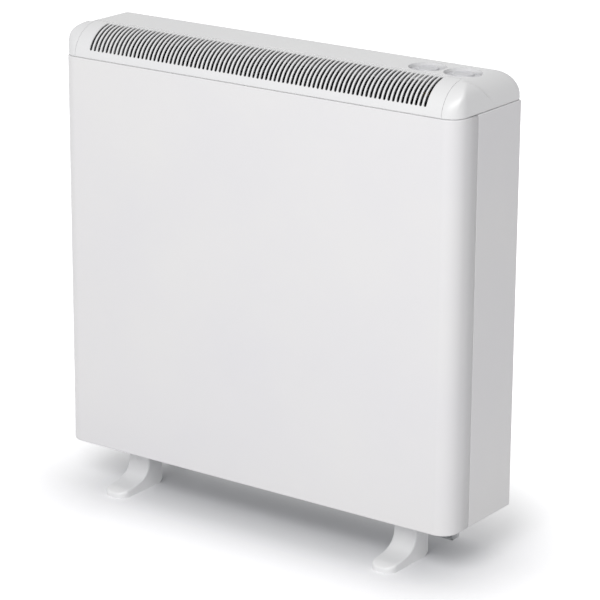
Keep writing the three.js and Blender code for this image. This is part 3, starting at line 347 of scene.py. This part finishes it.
def roundedPath(corners, radii, steps=6, support=0.5):
    # A path whose corners are true circular arcs. An arc is a weighted quadratic curve: its two
    # ends weigh 1 and its corner weighs the cosine of half the turn. Each arc gets one more point
    # on the straight before and after it, so that the shading of the straights stays flat.
    corners = np.asarray(corners, float)
    radii = np.broadcast_to(np.asarray(radii, float), corners.shape[:-1])
    toNext = np.roll(corners, -1, -2) - corners
    toLast = np.roll(corners, 1, -2) - corners
    toLast[..., 0, :] = -toNext[..., 0, :]
    toNext[..., -1, :] = -toLast[..., -1, :]
    toNext /= np.linalg.norm(toNext, axis=-1, keepdims=True)
    toLast /= np.linalg.norm(toLast, axis=-1, keepdims=True)
    turn = np.arccos(np.clip(-(toNext * toLast).sum(-1), -1, 1))[..., None]
    reach = radii[..., None] * np.tan(turn / 2)
    start = corners + toLast * reach
    end = corners + toNext * reach
    s = np.linspace(0, 1, steps + 1)[:, None]
    weight = np.cos(turn / 2)[..., None]
    first, middle, last = (1 - s) ** 2, 2 * s * (1 - s) * weight, s ** 2
    arc = first * start[..., None, :] + middle * corners[..., None, :] + last * end[..., None, :]
    arc = arc / (first + middle + last)
    lead = np.where(reach > 1e-6, support, 0.0)
    before = (start + toLast * lead)[..., None, :]
    after = (end + toNext * lead)[..., None, :]
    whole = np.concatenate([before, arc, after], -2)
    return whole.reshape(*whole.shape[:-3], -1, whole.shape[-1])


def resample(path, count):
    # Even steps along the length of a path.
    length = np.concatenate([[0], np.cumsum(np.linalg.norm(np.diff(path, axis=0), axis=1))])
    along = np.linspace(0, length[-1], count)
    return np.stack([np.interp(along, length, path[:, i]) for i in range(path.shape[1])], -1)


def turned(profile, centre, steps=96):
    # A profile of (radius, height) turned round an upright axis through the centre.
    angle = np.arange(steps) * 2 * pi / steps
    radius, height = profile[:, 0][:, None], profile[:, 1][:, None]
    x = centre[0] + radius * np.cos(angle)
    y = centre[1] + radius * np.sin(angle)
    return np.stack([x, y, height + centre[2] + 0 * angle], -1)


# ---- case

case = {
    "halfWidth": 352.5, "frontY": -84.0, "rearY": 84.0, "bottomZ": 70.0, "seamZ": 682.0,
    "cornerRadius": 26.0, "foldRadius": 1.7, "flange": 14.0, "sheet": 1.0,
    "returnY": -30.0, "sideStartY": -29.0, "sideEdgeRadius": 1.5,
}


def casePlan(inset):
    # The plan of the front panel, moved inwards: a return, a round corner, the front, and back.
    inset = np.asarray(inset, float)
    x, y = case["halfWidth"] - inset, case["frontY"] + inset
    back = np.full_like(x, case["returnY"])
    corners = np.stack([np.stack([-x, back], -1), np.stack([-x, y], -1),
                        np.stack([x, y], -1), np.stack([x, back], -1)], -2)
    rounds = np.stack([0 * x, case["cornerRadius"] - inset, case["cornerRadius"] - inset, 0 * x], -1)
    return roundedPath(corners, rounds, 20, 1.0)


def foldProfile(flange, low, high, radius):
    # Depth behind the skin over height: in along the lower flange, up the skin, in along the upper.
    return roundedPath([(flange, low), (0, low), (0, high), (flange, high)], [0, radius, radius, 0], 5)


def frontPanel():
    # The folded profile carried along the plan: each depth of the profile moves the plan inwards.
    profile = foldProfile(case["flange"], case["bottomZ"], case["seamZ"], case["foldRadius"])
    plan = casePlan(profile[:, 0])
    height = np.broadcast_to(profile[:, 1][:, None, None], (*plan.shape[:2], 1))
    piece = makePiece("frontPanel", [(np.concatenate([plan, height], -1), False, None)],
                      "white_paint", "case", ["front_panel"])
    thicken(piece, case["sheet"])


def sidePanel(side, label):
    # A shallow tray: its depth behind the skin is the depth of the fold profile along Y plus that
    # of the fold profile along Z.
    rise = foldProfile(case["flange"], case["bottomZ"], case["seamZ"], case["foldRadius"])
    run = roundedPath([(3, case["sideStartY"]), (0, case["sideStartY"]), (0, case["rearY"]),
                       (case["flange"], case["rearY"])],
                      [0, case["sideEdgeRadius"], case["foldRadius"], 0], 5)
    depth = rise[:, 0][:, None] + run[:, 0][None, :]
    x = side * (case["halfWidth"] - np.minimum(depth, case["flange"]))
    y = np.broadcast_to(run[:, 1][None, :], x.shape)
    z = np.broadcast_to(rise[:, 1][:, None], x.shape)
    piece = makePiece("sidePanel" + label, [(np.stack([x, y, z], -1), False, None)],
                      "white_paint", "case", ["side_panel_" + label.lower()])
    thicken(piece, case["sheet"])


frontPanel()
sidePanel(-1, "Left")
sidePanel(1, "Right")
print("case made")


# ---- cap, and the wells that it holds for the dials

cap = {
    "halfWidth": 351.5, "frontY": -83.0, "rearY": 83.0, "baseZ": 683.6, "topZ": 730.0,
    "noseDepth": 57.0, "flatEndY": 36.0, "rearRoundHeight": 42.0,
    "endRoundWidth": 28.0, "endRoundHeight": 40.0, "noseRound": 22.0,
    "slantTopY": -42.0, "slantFootY": 20.0, "creaseWidth": 5.0, "cornerBlend": 5.0,
    "cornerRadius": 25.0, "rearCornerRadius": 4.0, "wall": 2.0,
    "openingHalfWidth": 325.95, "seamY": -28.5, "edgeRound": 0.6,
    "lipInset": 1.6, "lipFootZ": 682.3, "rearLipFootZ": 680.9,
}

dial = {
    "centresX": (247.0, 305.5), "centreY": 2.0, "wellRadius": 27.5, "patchHalf": 29.25,
    "wellFloorZ": 718.0, "shaftHole": 4.0, "knobBaseZ": 718.8, "knobRadius": 26.2,
    "skirtHeight": 6.5, "crownRadius": 16.0, "crownHeight": 10.1, "dimpleRadius": 11.0,
    "dimpleDepth": 1.2, "dimpleSlope": 1.6, "crownSlope": 0.4, "boreRadius": 3.4, "boreDepth": 5.0,
    "markReach": 21.35, "markRadius": 2.0, "markAngle": 225.0, "markRise": 1.1, "markSink": 0.8,
}


def sideDrop(y):
    # How far the cap's side view lies under its top: a quarter ellipse at the nose, flat, then a
    # quarter ellipse at the back.
    nose = np.clip((cap["frontY"] + cap["noseDepth"] - y) / cap["noseDepth"], 0, 1)
    back = np.clip((y - cap["flatEndY"]) / (cap["rearY"] - cap["flatEndY"]), 0, 1)
    tall = cap["topZ"] - cap["baseZ"]
    noseDrop = tall * (1 - np.sqrt(1 - nose ** 2))
    return np.maximum(noseDrop, cap["rearRoundHeight"] * (1 - np.sqrt(1 - back ** 2)))


def endDrop(x, width, height):
    # The same for the front view: a quarter ellipse at each end.
    part = np.clip((np.abs(x) - cap["halfWidth"] + width) / width, 0, 1)
    return height * (1 - np.sqrt(1 - part ** 2))


def together(first, second):
    # Two drops joined with a soft mitre: the root of the sum of their powers.
    power = cap["cornerBlend"]
    return (first ** power + second ** power) ** (1 / power)


def endColumns():
    # The columns at the right end, for the end's own round and for the nose's tighter one.
    start = dial["centresX"][1] + dial["patchHalf"]
    tall = cap["topZ"] - cap["baseZ"]

    def outer(width, height):
        x = cap["halfWidth"] - width * (1 - np.sin(np.linspace(0, pi / 2, 200)))
        x = x[x > start]
        line = np.stack([x, endDrop(x, width, height)], -1)
        line = np.concatenate([[[start, endDrop(start, width, height)]], line, [[cap["halfWidth"], tall]]])
        return resample(line, 44)

    wellStart = dial["centresX"][0] - dial["patchHalf"]
    wellEnd = dial["centresX"][0] + dial["patchHalf"]
    inner = np.concatenate([
        np.linspace(0, wellStart, 12)[:-1],
        np.linspace(wellStart, wellEnd, 37)[:-1],
        np.linspace(wellEnd, cap["openingHalfWidth"], 21)[:-1],
        np.linspace(cap["openingHalfWidth"], start, 5)[:-1],
    ])
    endOwn = outer(cap["endRoundWidth"], cap["endRoundHeight"])
    noseOwn = outer(cap["noseRound"], cap["noseRound"])
    ownInner = np.stack([inner, endDrop(inner, cap["endRoundWidth"], cap["endRoundHeight"])], -1)
    noseInner = np.stack([inner, endDrop(inner, cap["noseRound"], cap["noseRound"])], -1)
    own, nose = np.concatenate([ownInner, endOwn]), np.concatenate([noseInner, noseOwn])
    mirror = np.array([-1.0, 1.0])
    return (np.concatenate([own[:0:-1] * mirror, own]), np.concatenate([nose[:0:-1] * mirror, nose]))


def sideRows():
    # The rows from the front foot of the nose over the top to the back foot.
    seamShare = (cap["frontY"] + cap["noseDepth"] - cap["seamY"]) / cap["noseDepth"]
    phi = np.linspace(0, np.arccos(seamShare), 30)
    noseY = cap["frontY"] + cap["noseDepth"] * (1 - np.cos(phi))
    low = dial["centreY"] - dial["patchHalf"]
    topY = np.linspace(low, dial["centreY"] + dial["patchHalf"], 45)
    psi = np.linspace(0, pi / 2, 18)
    backY = cap["flatEndY"] + (cap["rearY"] - cap["flatEndY"]) * np.sin(psi)
    y = np.concatenate([noseY, topY, backY, [cap["rearY"]]])
    drop = sideDrop(y)
    drop[-1] = cap["topZ"] - cap["baseZ"]
    return y, drop, len(noseY) - 1, len(noseY), len(noseY) + len(topY) - 1


def roundPlan(x, y):
    # Squeezes each square plan corner into a quarter circle: a point at shares (p, q) of the
    # corner's square goes to p times the root of 1 - q²/2 and q times the root of 1 - p²/2.
    front = (cap["cornerRadius"], cap["frontY"], -1)
    rear = (cap["rearCornerRadius"], cap["rearY"], 1)
    for radius, edge, way in (front, rear):
        p = np.clip((np.abs(x) - cap["halfWidth"] + radius) / radius, 0, 1)
        q = np.clip((way * (y - edge) + radius) / radius, 0, 1)
        x = x - np.sign(x) * radius * (p - p * np.sqrt(1 - q ** 2 / 2))
        y = y - way * radius * (q - q * np.sqrt(1 - p ** 2 / 2))
    return x, y


def capSurface():
    own, nose = endColumns()
    y, drop, seamRow, lowRow, highRow = sideRows()
    tall = cap["topZ"] - cap["baseZ"]
    drop = drop[:, None]
    behind = np.maximum(drop, own[:, 1][None, :])
    slantY = cap["slantTopY"] + (cap["slantFootY"] - cap["slantTopY"]) * behind / tall
    t = np.clip((slantY - y[:, None]) / cap["creaseWidth"] + 0.5, 0, 1)
    share = t * t * (3 - 2 * t)
    x = own[:, 0] + (nose[:, 0] - own[:, 0]) * share
    end = own[:, 1] + (nose[:, 1] - own[:, 1]) * share
    z = cap["topZ"] - np.minimum(together(drop, end), tall)
    x, yy = roundPlan(x, np.broadcast_to(y[:, None], x.shape))
    grid = np.stack([x, yy, z], -1)
    keep = np.ones((len(y) - 1, len(own) - 1), bool)
    middle = (own[:-1, 0] + own[1:, 0]) / 2
    keep[:seamRow, np.abs(middle) < cap["openingHalfWidth"]] = False
    right = grid[0, own[:, 0] > cap["openingHalfWidth"] - 0.01]
    left = grid[0, own[:, 0] < 0.01 - cap["openingHalfWidth"]]
    rim = np.concatenate([right, grid[1:, -1], grid[-1, -2::-1], grid[-2:0:-1, 0], left])
    patches = [(rimStep(rim), False, None)]
    for centreX in dial["centresX"]:
        inside = np.abs(middle - centreX) < dial["patchHalf"]
        keep[lowRow:highRow, inside] = False
        columns = np.flatnonzero(inside)
        patches += dialWell(grid[lowRow:highRow + 1, columns[0]:columns[-1] + 2], centreX)
    return [(grid, False, keep)] + patches


def dialWell(square, centreX):
    # The top between a square of the cap and a dial's round well, and the well's wall and floor.
    # Each ring is a share of the way from the circle to the square's border.
    border = np.concatenate([square[0, :-1], square[:-1, -1], square[-1, :0:-1], square[:0:-1, 0]])
    centre = np.array([centreX, dial["centreY"]])
    angle = np.arctan2(border[:, 1] - centre[1], border[:, 0] - centre[0])
    circle = centre + dial["wellRadius"] * np.stack([np.cos(angle), np.sin(angle)], -1)
    share = np.array([1, 0.72, 0.42, 0.16, 0])[:, None, None]
    flat = circle + (border[:, :2] - circle) * share
    atEnd = endDrop(flat[..., 0], cap["endRoundWidth"], cap["endRoundHeight"])
    drop = together(sideDrop(flat[..., 1]), atEnd)
    top = np.concatenate([flat, (cap["topZ"] - drop)[..., None]], -1)
    top[0] = border
    down = np.array([0, 0.14, 0.6, 1])[:, None]
    wallZ = top[-1, :, 2] + (dial["wellFloorZ"] - top[-1, :, 2]) * down
    wall = np.concatenate([np.broadcast_to(circle, (4, *circle.shape)), wallZ[..., None]], -1)
    radius = np.array([dial["wellRadius"], dial["wellRadius"] - 1, dial["shaftHole"]])[:, None]
    floorXY = centre + radius[..., None] * np.stack([np.cos(angle), np.sin(angle)], -1)
    floor = np.concatenate([floorXY, np.full((3, len(angle), 1), dial["wellFloorZ"])], -1)
    return [(top, True, None), (wall, True, None), (floor, True, None)]


def rimStep(rim):
    # Below the skin the cap steps in and down to the seam. The way in is the rim's direction
    # turned by a quarter; a point that repeats the one before it has no direction and is left out.
    apart = np.linalg.norm(np.diff(rim[:, :2], axis=0), axis=1) > 1e-4
    rim = rim[np.concatenate([[True], apart])]
    way = np.gradient(rim[:, :2], axis=0)
    way /= np.linalg.norm(way, axis=1, keepdims=True)
    inner = rim[:, :2] + cap["lipInset"] * np.stack([-way[:, 1], way[:, 0]], -1)
    base = np.full((len(rim), 1), cap["baseZ"])
    # at the back the lip goes on down to the back panel's flange
    lipFoot = np.where(rim[:, 1:2] > cap["rearY"] - 2, cap["rearLipFootZ"], cap["lipFootZ"])
    return np.stack([rim, np.concatenate([inner, base], 1), np.concatenate([inner, lipFoot], 1)])


def topCover():
    piece = makePiece("topCover", capSurface(), "white_plastic", "case", ["top_cover"], 45.0)
    thicken(piece, cap["wall"])
    roundEdges(piece, cap["edgeRound"])


topCover()
print("cap made")


# ---- grille

grille = {
    "halfWidth": 325.4, "backY": -28.95, "slotCount": 80, "firstSlotX": -297.0,
    "slotPitch": 7.52, "slotWidth": 4.6, "lowAngle": 14.5, "highAngle": 80.0,
    "wall": 1.6, "edgeRound": 0.3, "backStep": 0.7, "backStepLength": 7.0,
}


def grilleSurface():
    # Each rib runs over the nose between two slots. Half the slot's width at a distance along the
    # arc is constant, and at the slot's ends it follows a circle: the root of r² less the distance
    # past the circle's middle squared. Where it is nothing the ribs meet.
    tall = cap["topZ"] - cap["baseZ"]
    centreY = cap["frontY"] + cap["noseDepth"]
    fine = np.linspace(0, np.arccos((centreY - grille["backY"]) / cap["noseDepth"]), 4000)
    line = np.stack([centreY - cap["noseDepth"] * np.cos(fine), cap["baseZ"] + tall * np.sin(fine)], -1)
    length = np.concatenate([[0], np.cumsum(np.linalg.norm(np.diff(line, axis=0), axis=1))])
    low, high = np.interp(np.radians([grille["lowAngle"], grille["highAngle"]]), fine, length)
    r = grille["slotWidth"] / 2
    bend = r * (1 - np.cos(np.linspace(0, pi / 2, 7)))
    along = np.concatenate([
        np.linspace(0, low, 6)[:-1], low + bend, np.linspace(low + r, high - r, 16)[1:-1],
        high - bend[::-1], np.linspace(high, length[-1], 8)[1:],
    ])
    past = np.maximum(np.maximum(low + r - along, along - high + r), 0)
    half = np.sqrt(np.maximum(r ** 2 - past ** 2, 0))
    slots = grille["firstSlotX"] + grille["slotPitch"] * np.arange(grille["slotCount"])
    left = np.concatenate([[[-grille["halfWidth"]] * len(along)], slots[:, None] + half])
    right = np.concatenate([slots[:, None] - half, [[grille["halfWidth"]] * len(along)]])
    across = np.array([0, 0.12, 0.5, 0.88, 1])
    x = left[..., None] + (right - left)[..., None] * across
    y = np.interp(along, length, line[:, 0])
    z = np.interp(along, length, line[:, 1])
    step = np.clip((along - length[-1] + grille["backStepLength"]) / grille["backStepLength"], 0, 1)
    z = z - grille["backStep"] * step ** 2 * (3 - 2 * step)
    # two rows below the skin make the step in to the seam
    x = np.concatenate([x[:, :1], x[:, :1], x], 1)
    stepY = cap["frontY"] + cap["lipInset"]
    y = np.concatenate([[stepY, stepY], y])
    z = np.concatenate([[cap["lipFootZ"], cap["baseZ"]], z])
    ribs = np.stack([x, np.broadcast_to(y[:, None], x.shape), np.broadcast_to(z[:, None], x.shape)], -1)
    return [(rib, False, None) for rib in ribs]


def frontGrille():
    piece = makePiece("frontGrille", grilleSurface(), "white_plastic", "case", ["front_grille"], 60.0)
    thicken(piece, grille["wall"])
    roundEdges(piece, grille["edgeRound"])


frontGrille()
print("grille made,", grille["slotCount"], "slots")


# ---- dials

def knobSurface(centreX):
    # A turned profile: a skirt, a raised crown with a shallow dimple, and soft edges throughout.
    r, crown, dimple = dial["knobRadius"], dial["crownRadius"], dial["dimpleRadius"]
    high, skirt = dial["crownHeight"], dial["skirtHeight"]
    slope, bore, deep = dial["crownSlope"], dial["boreRadius"], dial["boreDepth"]
    floor = high - dial["dimpleDepth"]
    corners = [(0, floor), (dimple, floor), (dimple + dial["dimpleSlope"], high), (crown - slope, high),
               (crown + slope, skirt + 0.3), (r, skirt), (r, 0), (bore, 0), (bore, deep), (0, deep)]
    profile = roundedPath(corners, [0, 1.2, 1.0, 1.1, 0.9, 1.2, 0.4, 0, 0, 0], 5, 0.25)
    return turned(profile, (centreX, dial["centreY"], dial["knobBaseZ"]))


def markSurface(centreX):
    # A small domed dot on the skirt: a turned quarter of an ellipse.
    angle = radians(dial["markAngle"])
    x = centreX + dial["markReach"] * np.cos(angle)
    y = dial["centreY"] + dial["markReach"] * np.sin(angle)
    t = np.linspace(0, pi / 2, 8)
    profile = np.stack([dial["markRadius"] * np.sin(t), dial["markRise"] * np.cos(t)], -1)
    sunk = -dial["markSink"]
    profile = np.concatenate([profile, [[dial["markRadius"], sunk], [0, sunk]]])
    return turned(profile, (x, y, dial["knobBaseZ"] + dial["skirtHeight"] - 0.1), 32)


def dials():
    for label, centreX in zip(("output", "input"), dial["centresX"]):
        makePiece(label + "Knob", [(knobSurface(centreX), True, None)], "dial_plastic",
                  label + "_dial", [label + "_knob"], 50.0)
        makePiece(label + "Mark", [(markSurface(centreX), True, None)], "white_plastic", label + "_dial")


dials()
print("dials made")


# ---- feet and rear legs

foot = {
    "centresX": (-249.0, 249.0), "halfWidth": 20.0, "tipY": -103.0, "rimZ": 6.0,
    "toeRadius": 15.0, "columnFrontY": -37.0, "columnBackY": -8.0, "heelY": -5.0,
    "topZ": 71.0, "edgeRadius": 3.2, "toeRise": 5.6, "toeSlope": 0.9,
    "sweepPull": (30.0, 1.8), "leanInset": 1.5, "leanZ": 20.0, "sweepInset": 1.0, "sweepTopZ": 44.0,
    "heelStation": 24,
}

leg = {"centresX": (-249.0, 249.0), "halfWidth": 20.0, "rearY": 82.0, "depth": 20.0,
       "topZ": 71.0, "sheet": 2.0, "foldRadius": 3.0, "screwY": 72.0, "studRadius": 3.0,
       "studTopZ": 77.0, "headRadius": 6.0, "headTopZ": 66.0, "headZ": 63.0}


def footSurface(centreX):
    # A rounded rectangle carried up the foot. Each station has a near line, on the toe and the
    # front of the column, and a far line, on the floor and the heel; the rectangle spans the two.
    tip, toeR, half = foot["tipY"], foot["toeRadius"], foot["halfWidth"]
    phi = np.linspace(0, pi / 2, 12)
    toeY = tip + toeR * (1 - np.cos(phi))
    toeHalf = half - toeR + toeR * np.sin(phi)
    toeTop = foot["rimZ"] + foot["toeRise"] * np.sqrt(np.clip((toeY - tip) / toeR, 0, 1))
    toeTop = toeTop + foot["toeSlope"] * (toeY - tip) / toeR
    # the sweep is a cubic curve from the toe's top to the column
    s = np.linspace(0, 1, 22)[1:, None]
    start = np.array([toeY[-1], toeTop[-1]])
    pull = start + foot["sweepPull"]
    lean = np.array([foot["columnFrontY"] - foot["leanInset"], foot["leanZ"]])
    end = np.array([foot["columnFrontY"] - foot["sweepInset"], foot["sweepTopZ"]])
    sweep = (1 - s) ** 3 * start + 3 * s * (1 - s) ** 2 * pull + 3 * s ** 2 * (1 - s) * lean + s ** 3 * end
    near = np.concatenate([np.stack([toeY, toeTop], -1), sweep, [[foot["columnFrontY"], foot["topZ"]]]])
    share = np.clip((near[:, 1] - toeTop[-1]) / (foot["topZ"] - toeTop[-1]), 0, 1)
    heelY = foot["heelY"] + (foot["columnBackY"] - foot["heelY"]) * share
    t = np.clip((near[:, 0] - toeY[-1]) / (foot["columnFrontY"] - toeY[-1] - 3), 0, 1)
    farY = near[:, 0] + (heelY - near[:, 0]) * t ** 1.3
    # the far line stays on the floor up to the heel, and then climbs the column's back
    first = foot["heelStation"]
    climb = np.clip((np.arange(len(near)) - first) / (len(near) - first - 1), 0, 1)
    farZ = foot["topZ"] * climb ** 1.2
    backY = foot["heelY"] + (foot["columnBackY"] - foot["heelY"]) * farZ / foot["topZ"]
    farY = np.where(climb > 0, backY, farY)
    far = np.stack([farY, farZ], -1)
    halfWidth = np.concatenate([toeHalf, np.full(len(near) - len(toeHalf), half)])
    span = far - near
    depth = np.linalg.norm(span, axis=1)
    way = span / depth[:, None]
    radius = np.minimum(foot["edgeRadius"], np.minimum(depth * 0.45, halfWidth * 0.6))
    zero, w, d = 0 * depth, halfWidth, depth
    corners = np.stack([np.stack([-w, d], -1), np.stack([-w, zero], -1), np.stack([w, zero], -1),
                        np.stack([w, d], -1)], -2)
    ring = roundedPath(corners, np.stack([zero, radius, radius, zero], -1), 6, 0.6)
    x = centreX + ring[..., 0]
    y = near[:, 0][:, None] + way[:, 0][:, None] * ring[..., 1]
    z = near[:, 1][:, None] + way[:, 1][:, None] * ring[..., 1]
    return np.stack([x, y, z], -1)


def frontFeet():
    for label, centreX in zip(("Left", "Right"), foot["centresX"]):
        makePiece("frontFoot" + label, [(footSurface(centreX), True, None)], "white_plastic", "case",
                  ["front_foot_" + label.lower()], 50.0, closed=True, finish=litFootPlastic)


def screwProfile():
    # The stud from its tip down to the head, and round the head, as (radius, height).
    thin, wide = leg["studRadius"], leg["headRadius"]
    corners = [(0, leg["studTopZ"]), (thin, leg["studTopZ"]), (thin, leg["headTopZ"]),
               (wide, leg["headTopZ"]), (wide, leg["headZ"]), (0, leg["headZ"])]
    return roundedPath(corners, [0, 0.6, 0, 0.5, 0.5, 0], 3, 0.2)


def rearLegs():
    # A tray open to the front: its depth is the sum of the fold depths over X and over Z.
    w, radius = leg["halfWidth"], leg["foldRadius"]
    over = roundedPath([(leg["depth"], -w), (0, -w), (0, w), (leg["depth"], w)], [0, radius, radius, 0], 5)
    rise = roundedPath([(leg["depth"], 0), (0, 0), (0, leg["topZ"]), (leg["depth"], leg["topZ"])],
                       [0, radius, radius, 0], 5)
    depth = np.minimum(rise[:, 0][:, None] + over[:, 0][None, :], leg["depth"])
    z = np.broadcast_to(rise[:, 1][:, None], depth.shape)
    for label, centreX in zip(("Left", "Right"), leg["centresX"]):
        x = np.broadcast_to(centreX + over[:, 1][None, :], depth.shape)
        tray = np.stack([x, leg["rearY"] - depth, z], -1)
        screw = turned(screwProfile(), (centreX, leg["screwY"], 0.0), 32)
        piece = makePiece("rearLeg" + label, [(tray, False, None)], "galvanised", "case",
                          ["rear_leg_" + label.lower()], finish=legZinc)
        thicken(piece, leg["sheet"])
        makePiece("rearLegScrew" + label, [(screw, True, None)], "plain_steel", "case")


frontFeet()
rearLegs()
print("feet and legs made")


# ---- the CAD nodes that stay: each gets its finish

def dressFrame():
    own = {"back_panel": shadedInsideBack}
    # the inner parts seen through the slots get the dark zinc: painted shade
    for name in ("shield_top", "shield_front", "partition_left", "partition_right", "damper_flap",
                 "damper_bearing", "control_bracket"):
        own[name] = shadeDarkZinc
    for entry in frame["record"]["subparts"]:
        node = cadNodes[entry["node"]]
        node.data.materials.clear()
        node.data.materials.append(own.get(entry["node"], finishes[entry["material_slot"]]))


dressFrame()
print("frame dressed")


# ---- stage, light and camera

# footMiddle, footHalf and whiteReach shape the floor's painted shadow: the box round the footprint, and the
# distance over which the floor turns white.
stage = {"floorTone": (232, 232, 234), "worldLight": 0.46, "size": 60.0,
         "footMiddle": (0.02, -0.02), "footHalf": (0.25, 0.02), "whiteReach": 0.45}


def seenDirectly(tree):
    # 1 for a ray from the camera, a mirror or glass, which shows the plain white background.
    path = tree.nodes.new("ShaderNodeLightPath")
    total = None
    for name in ("Is Camera Ray", "Is Glossy Ray", "Is Transmission Ray"):
        if total is None:
            total = path.outputs[name]
            continue
        larger = tree.nodes.new("ShaderNodeMath")
        larger.operation = "MAXIMUM"
        tree.links.new(total, larger.inputs[0])
        tree.links.new(path.outputs[name], larger.inputs[1])
        total = larger.outputs[0]
    return total


def whiteRoom():
    world = bpy.data.worlds.new("whiteRoom")
    bpy.context.scene.world = world
    world.use_nodes = True
    tree = world.node_tree
    ground = tree.nodes["Background"]
    ground.inputs["Color"].default_value = (1.0, 1.0, 1.0, 1.0)
    strength = remap(tree, seenDirectly(tree), 0.0, 1.0, stage["worldLight"], 1.0)
    tree.links.new(strength, ground.inputs["Strength"])


def paleFloor():
    half = stage["size"] / 2
    mesh = bpy.data.meshes.new("floor")
    corners = [(-half, -half, 0), (half, -half, 0), (half, half, 0), (-half, half, 0)]
    mesh.from_pydata(corners, [], [(0, 1, 2, 3)])
    floor = bpy.data.objects.new("floor", mesh)
    bpy.context.scene.collection.objects.link(floor)
    material, tree, shader = newMaterial("paleFloor", srgb(*stage["floorTone"]), 0.9)
    shader.inputs["Specular IOR Level"].default_value = 0.0
    shader.inputs["Emission Color"].default_value = (1.0, 1.0, 1.0, 1.0)
    # Near the object the floor shows its shadow, and further out it turns to the white background. The glow
    # that whitens the floor for the camera is left out near the object and rises with distance, so the floor
    # is darker round the object: painted shadow, on top of the real one. The distance is measured from a
    # narrow box along the middle of the object's footprint.
    (middleX, middleY), (halfX, halfY) = stage["footMiddle"], stage["footHalf"]
    here = tree.nodes.new("ShaderNodeTexCoord").outputs["Object"]
    for operation, value in (("SUBTRACT", (middleX, middleY, 0)), ("ABSOLUTE", (0, 0, 0)),
                             ("SUBTRACT", (halfX, halfY, 0)), ("MAXIMUM", (0, 0, 0))):
        step = tree.nodes.new("ShaderNodeVectorMath")
        step.operation = operation
        tree.links.new(here, step.inputs[0])
        step.inputs[1].default_value = value
        here = step.outputs[0]
    length = tree.nodes.new("ShaderNodeVectorMath")
    length.operation = "LENGTH"
    tree.links.new(here, length.inputs[0])
    reach = remap(tree, length.outputs["Value"], 0.0, stage["whiteReach"], 0.0, 1.0)
    glow = tree.nodes.new("ShaderNodeMath")
    glow.operation = "MULTIPLY"
    tree.links.new(reach, glow.inputs[0])
    tree.links.new(seenDirectly(tree), glow.inputs[1])
    tree.links.new(glow.outputs[0], shader.inputs["Emission Strength"])
    mesh.materials.append(material)


def softbox(name, spot, aim, width, height, watts):
    lamp = bpy.data.lights.new(name, "AREA")
    lamp.shape = "RECTANGLE"
    lamp.size, lamp.size_y, lamp.energy = width, height, watts
    box = bpy.data.objects.new(name, lamp)
    bpy.context.scene.collection.objects.link(box)
    toLamp = Vector(spot) - Vector(aim)
    box.rotation_mode = "QUATERNION"
    box.rotation_quaternion = toLamp.to_track_quat("Z", "Y")
    box.location = spot


def camera():
    # The camera stands to the right and above, and looks down a little. Its turn is the heading
    # round Z, then the tilt, then a slight roll about its own axis.
    view = {"place": (2.337, -3.233, 1.599), "heading": 35.5, "tilt": 17.5, "roll": 0.34, "lens": 168.3}
    data = bpy.data.cameras.new("camera")
    data.lens = view["lens"]
    data.sensor_width = 36.0
    data.clip_end = 200.0
    eye = bpy.data.objects.new("camera", data)
    bpy.context.scene.collection.objects.link(eye)
    turn = (Matrix.Rotation(radians(view["heading"]), 4, "Z")
            @ Matrix.Rotation(radians(90 - view["tilt"]), 4, "X")
            @ Matrix.Rotation(radians(view["roll"]), 4, "Z"))
    eye.matrix_world = Matrix.Translation(view["place"]) @ turn
    bpy.context.scene.camera = eye


whiteRoom()
paleFloor()
softbox("keyLight", spot=(1.0, -3.15, 2.9), aim=(0, 0, 0.35), width=2.2, height=2.0, watts=93)
camera()
bpy.context.scene.view_settings.view_transform = "Standard"
print("stage, light and camera made")
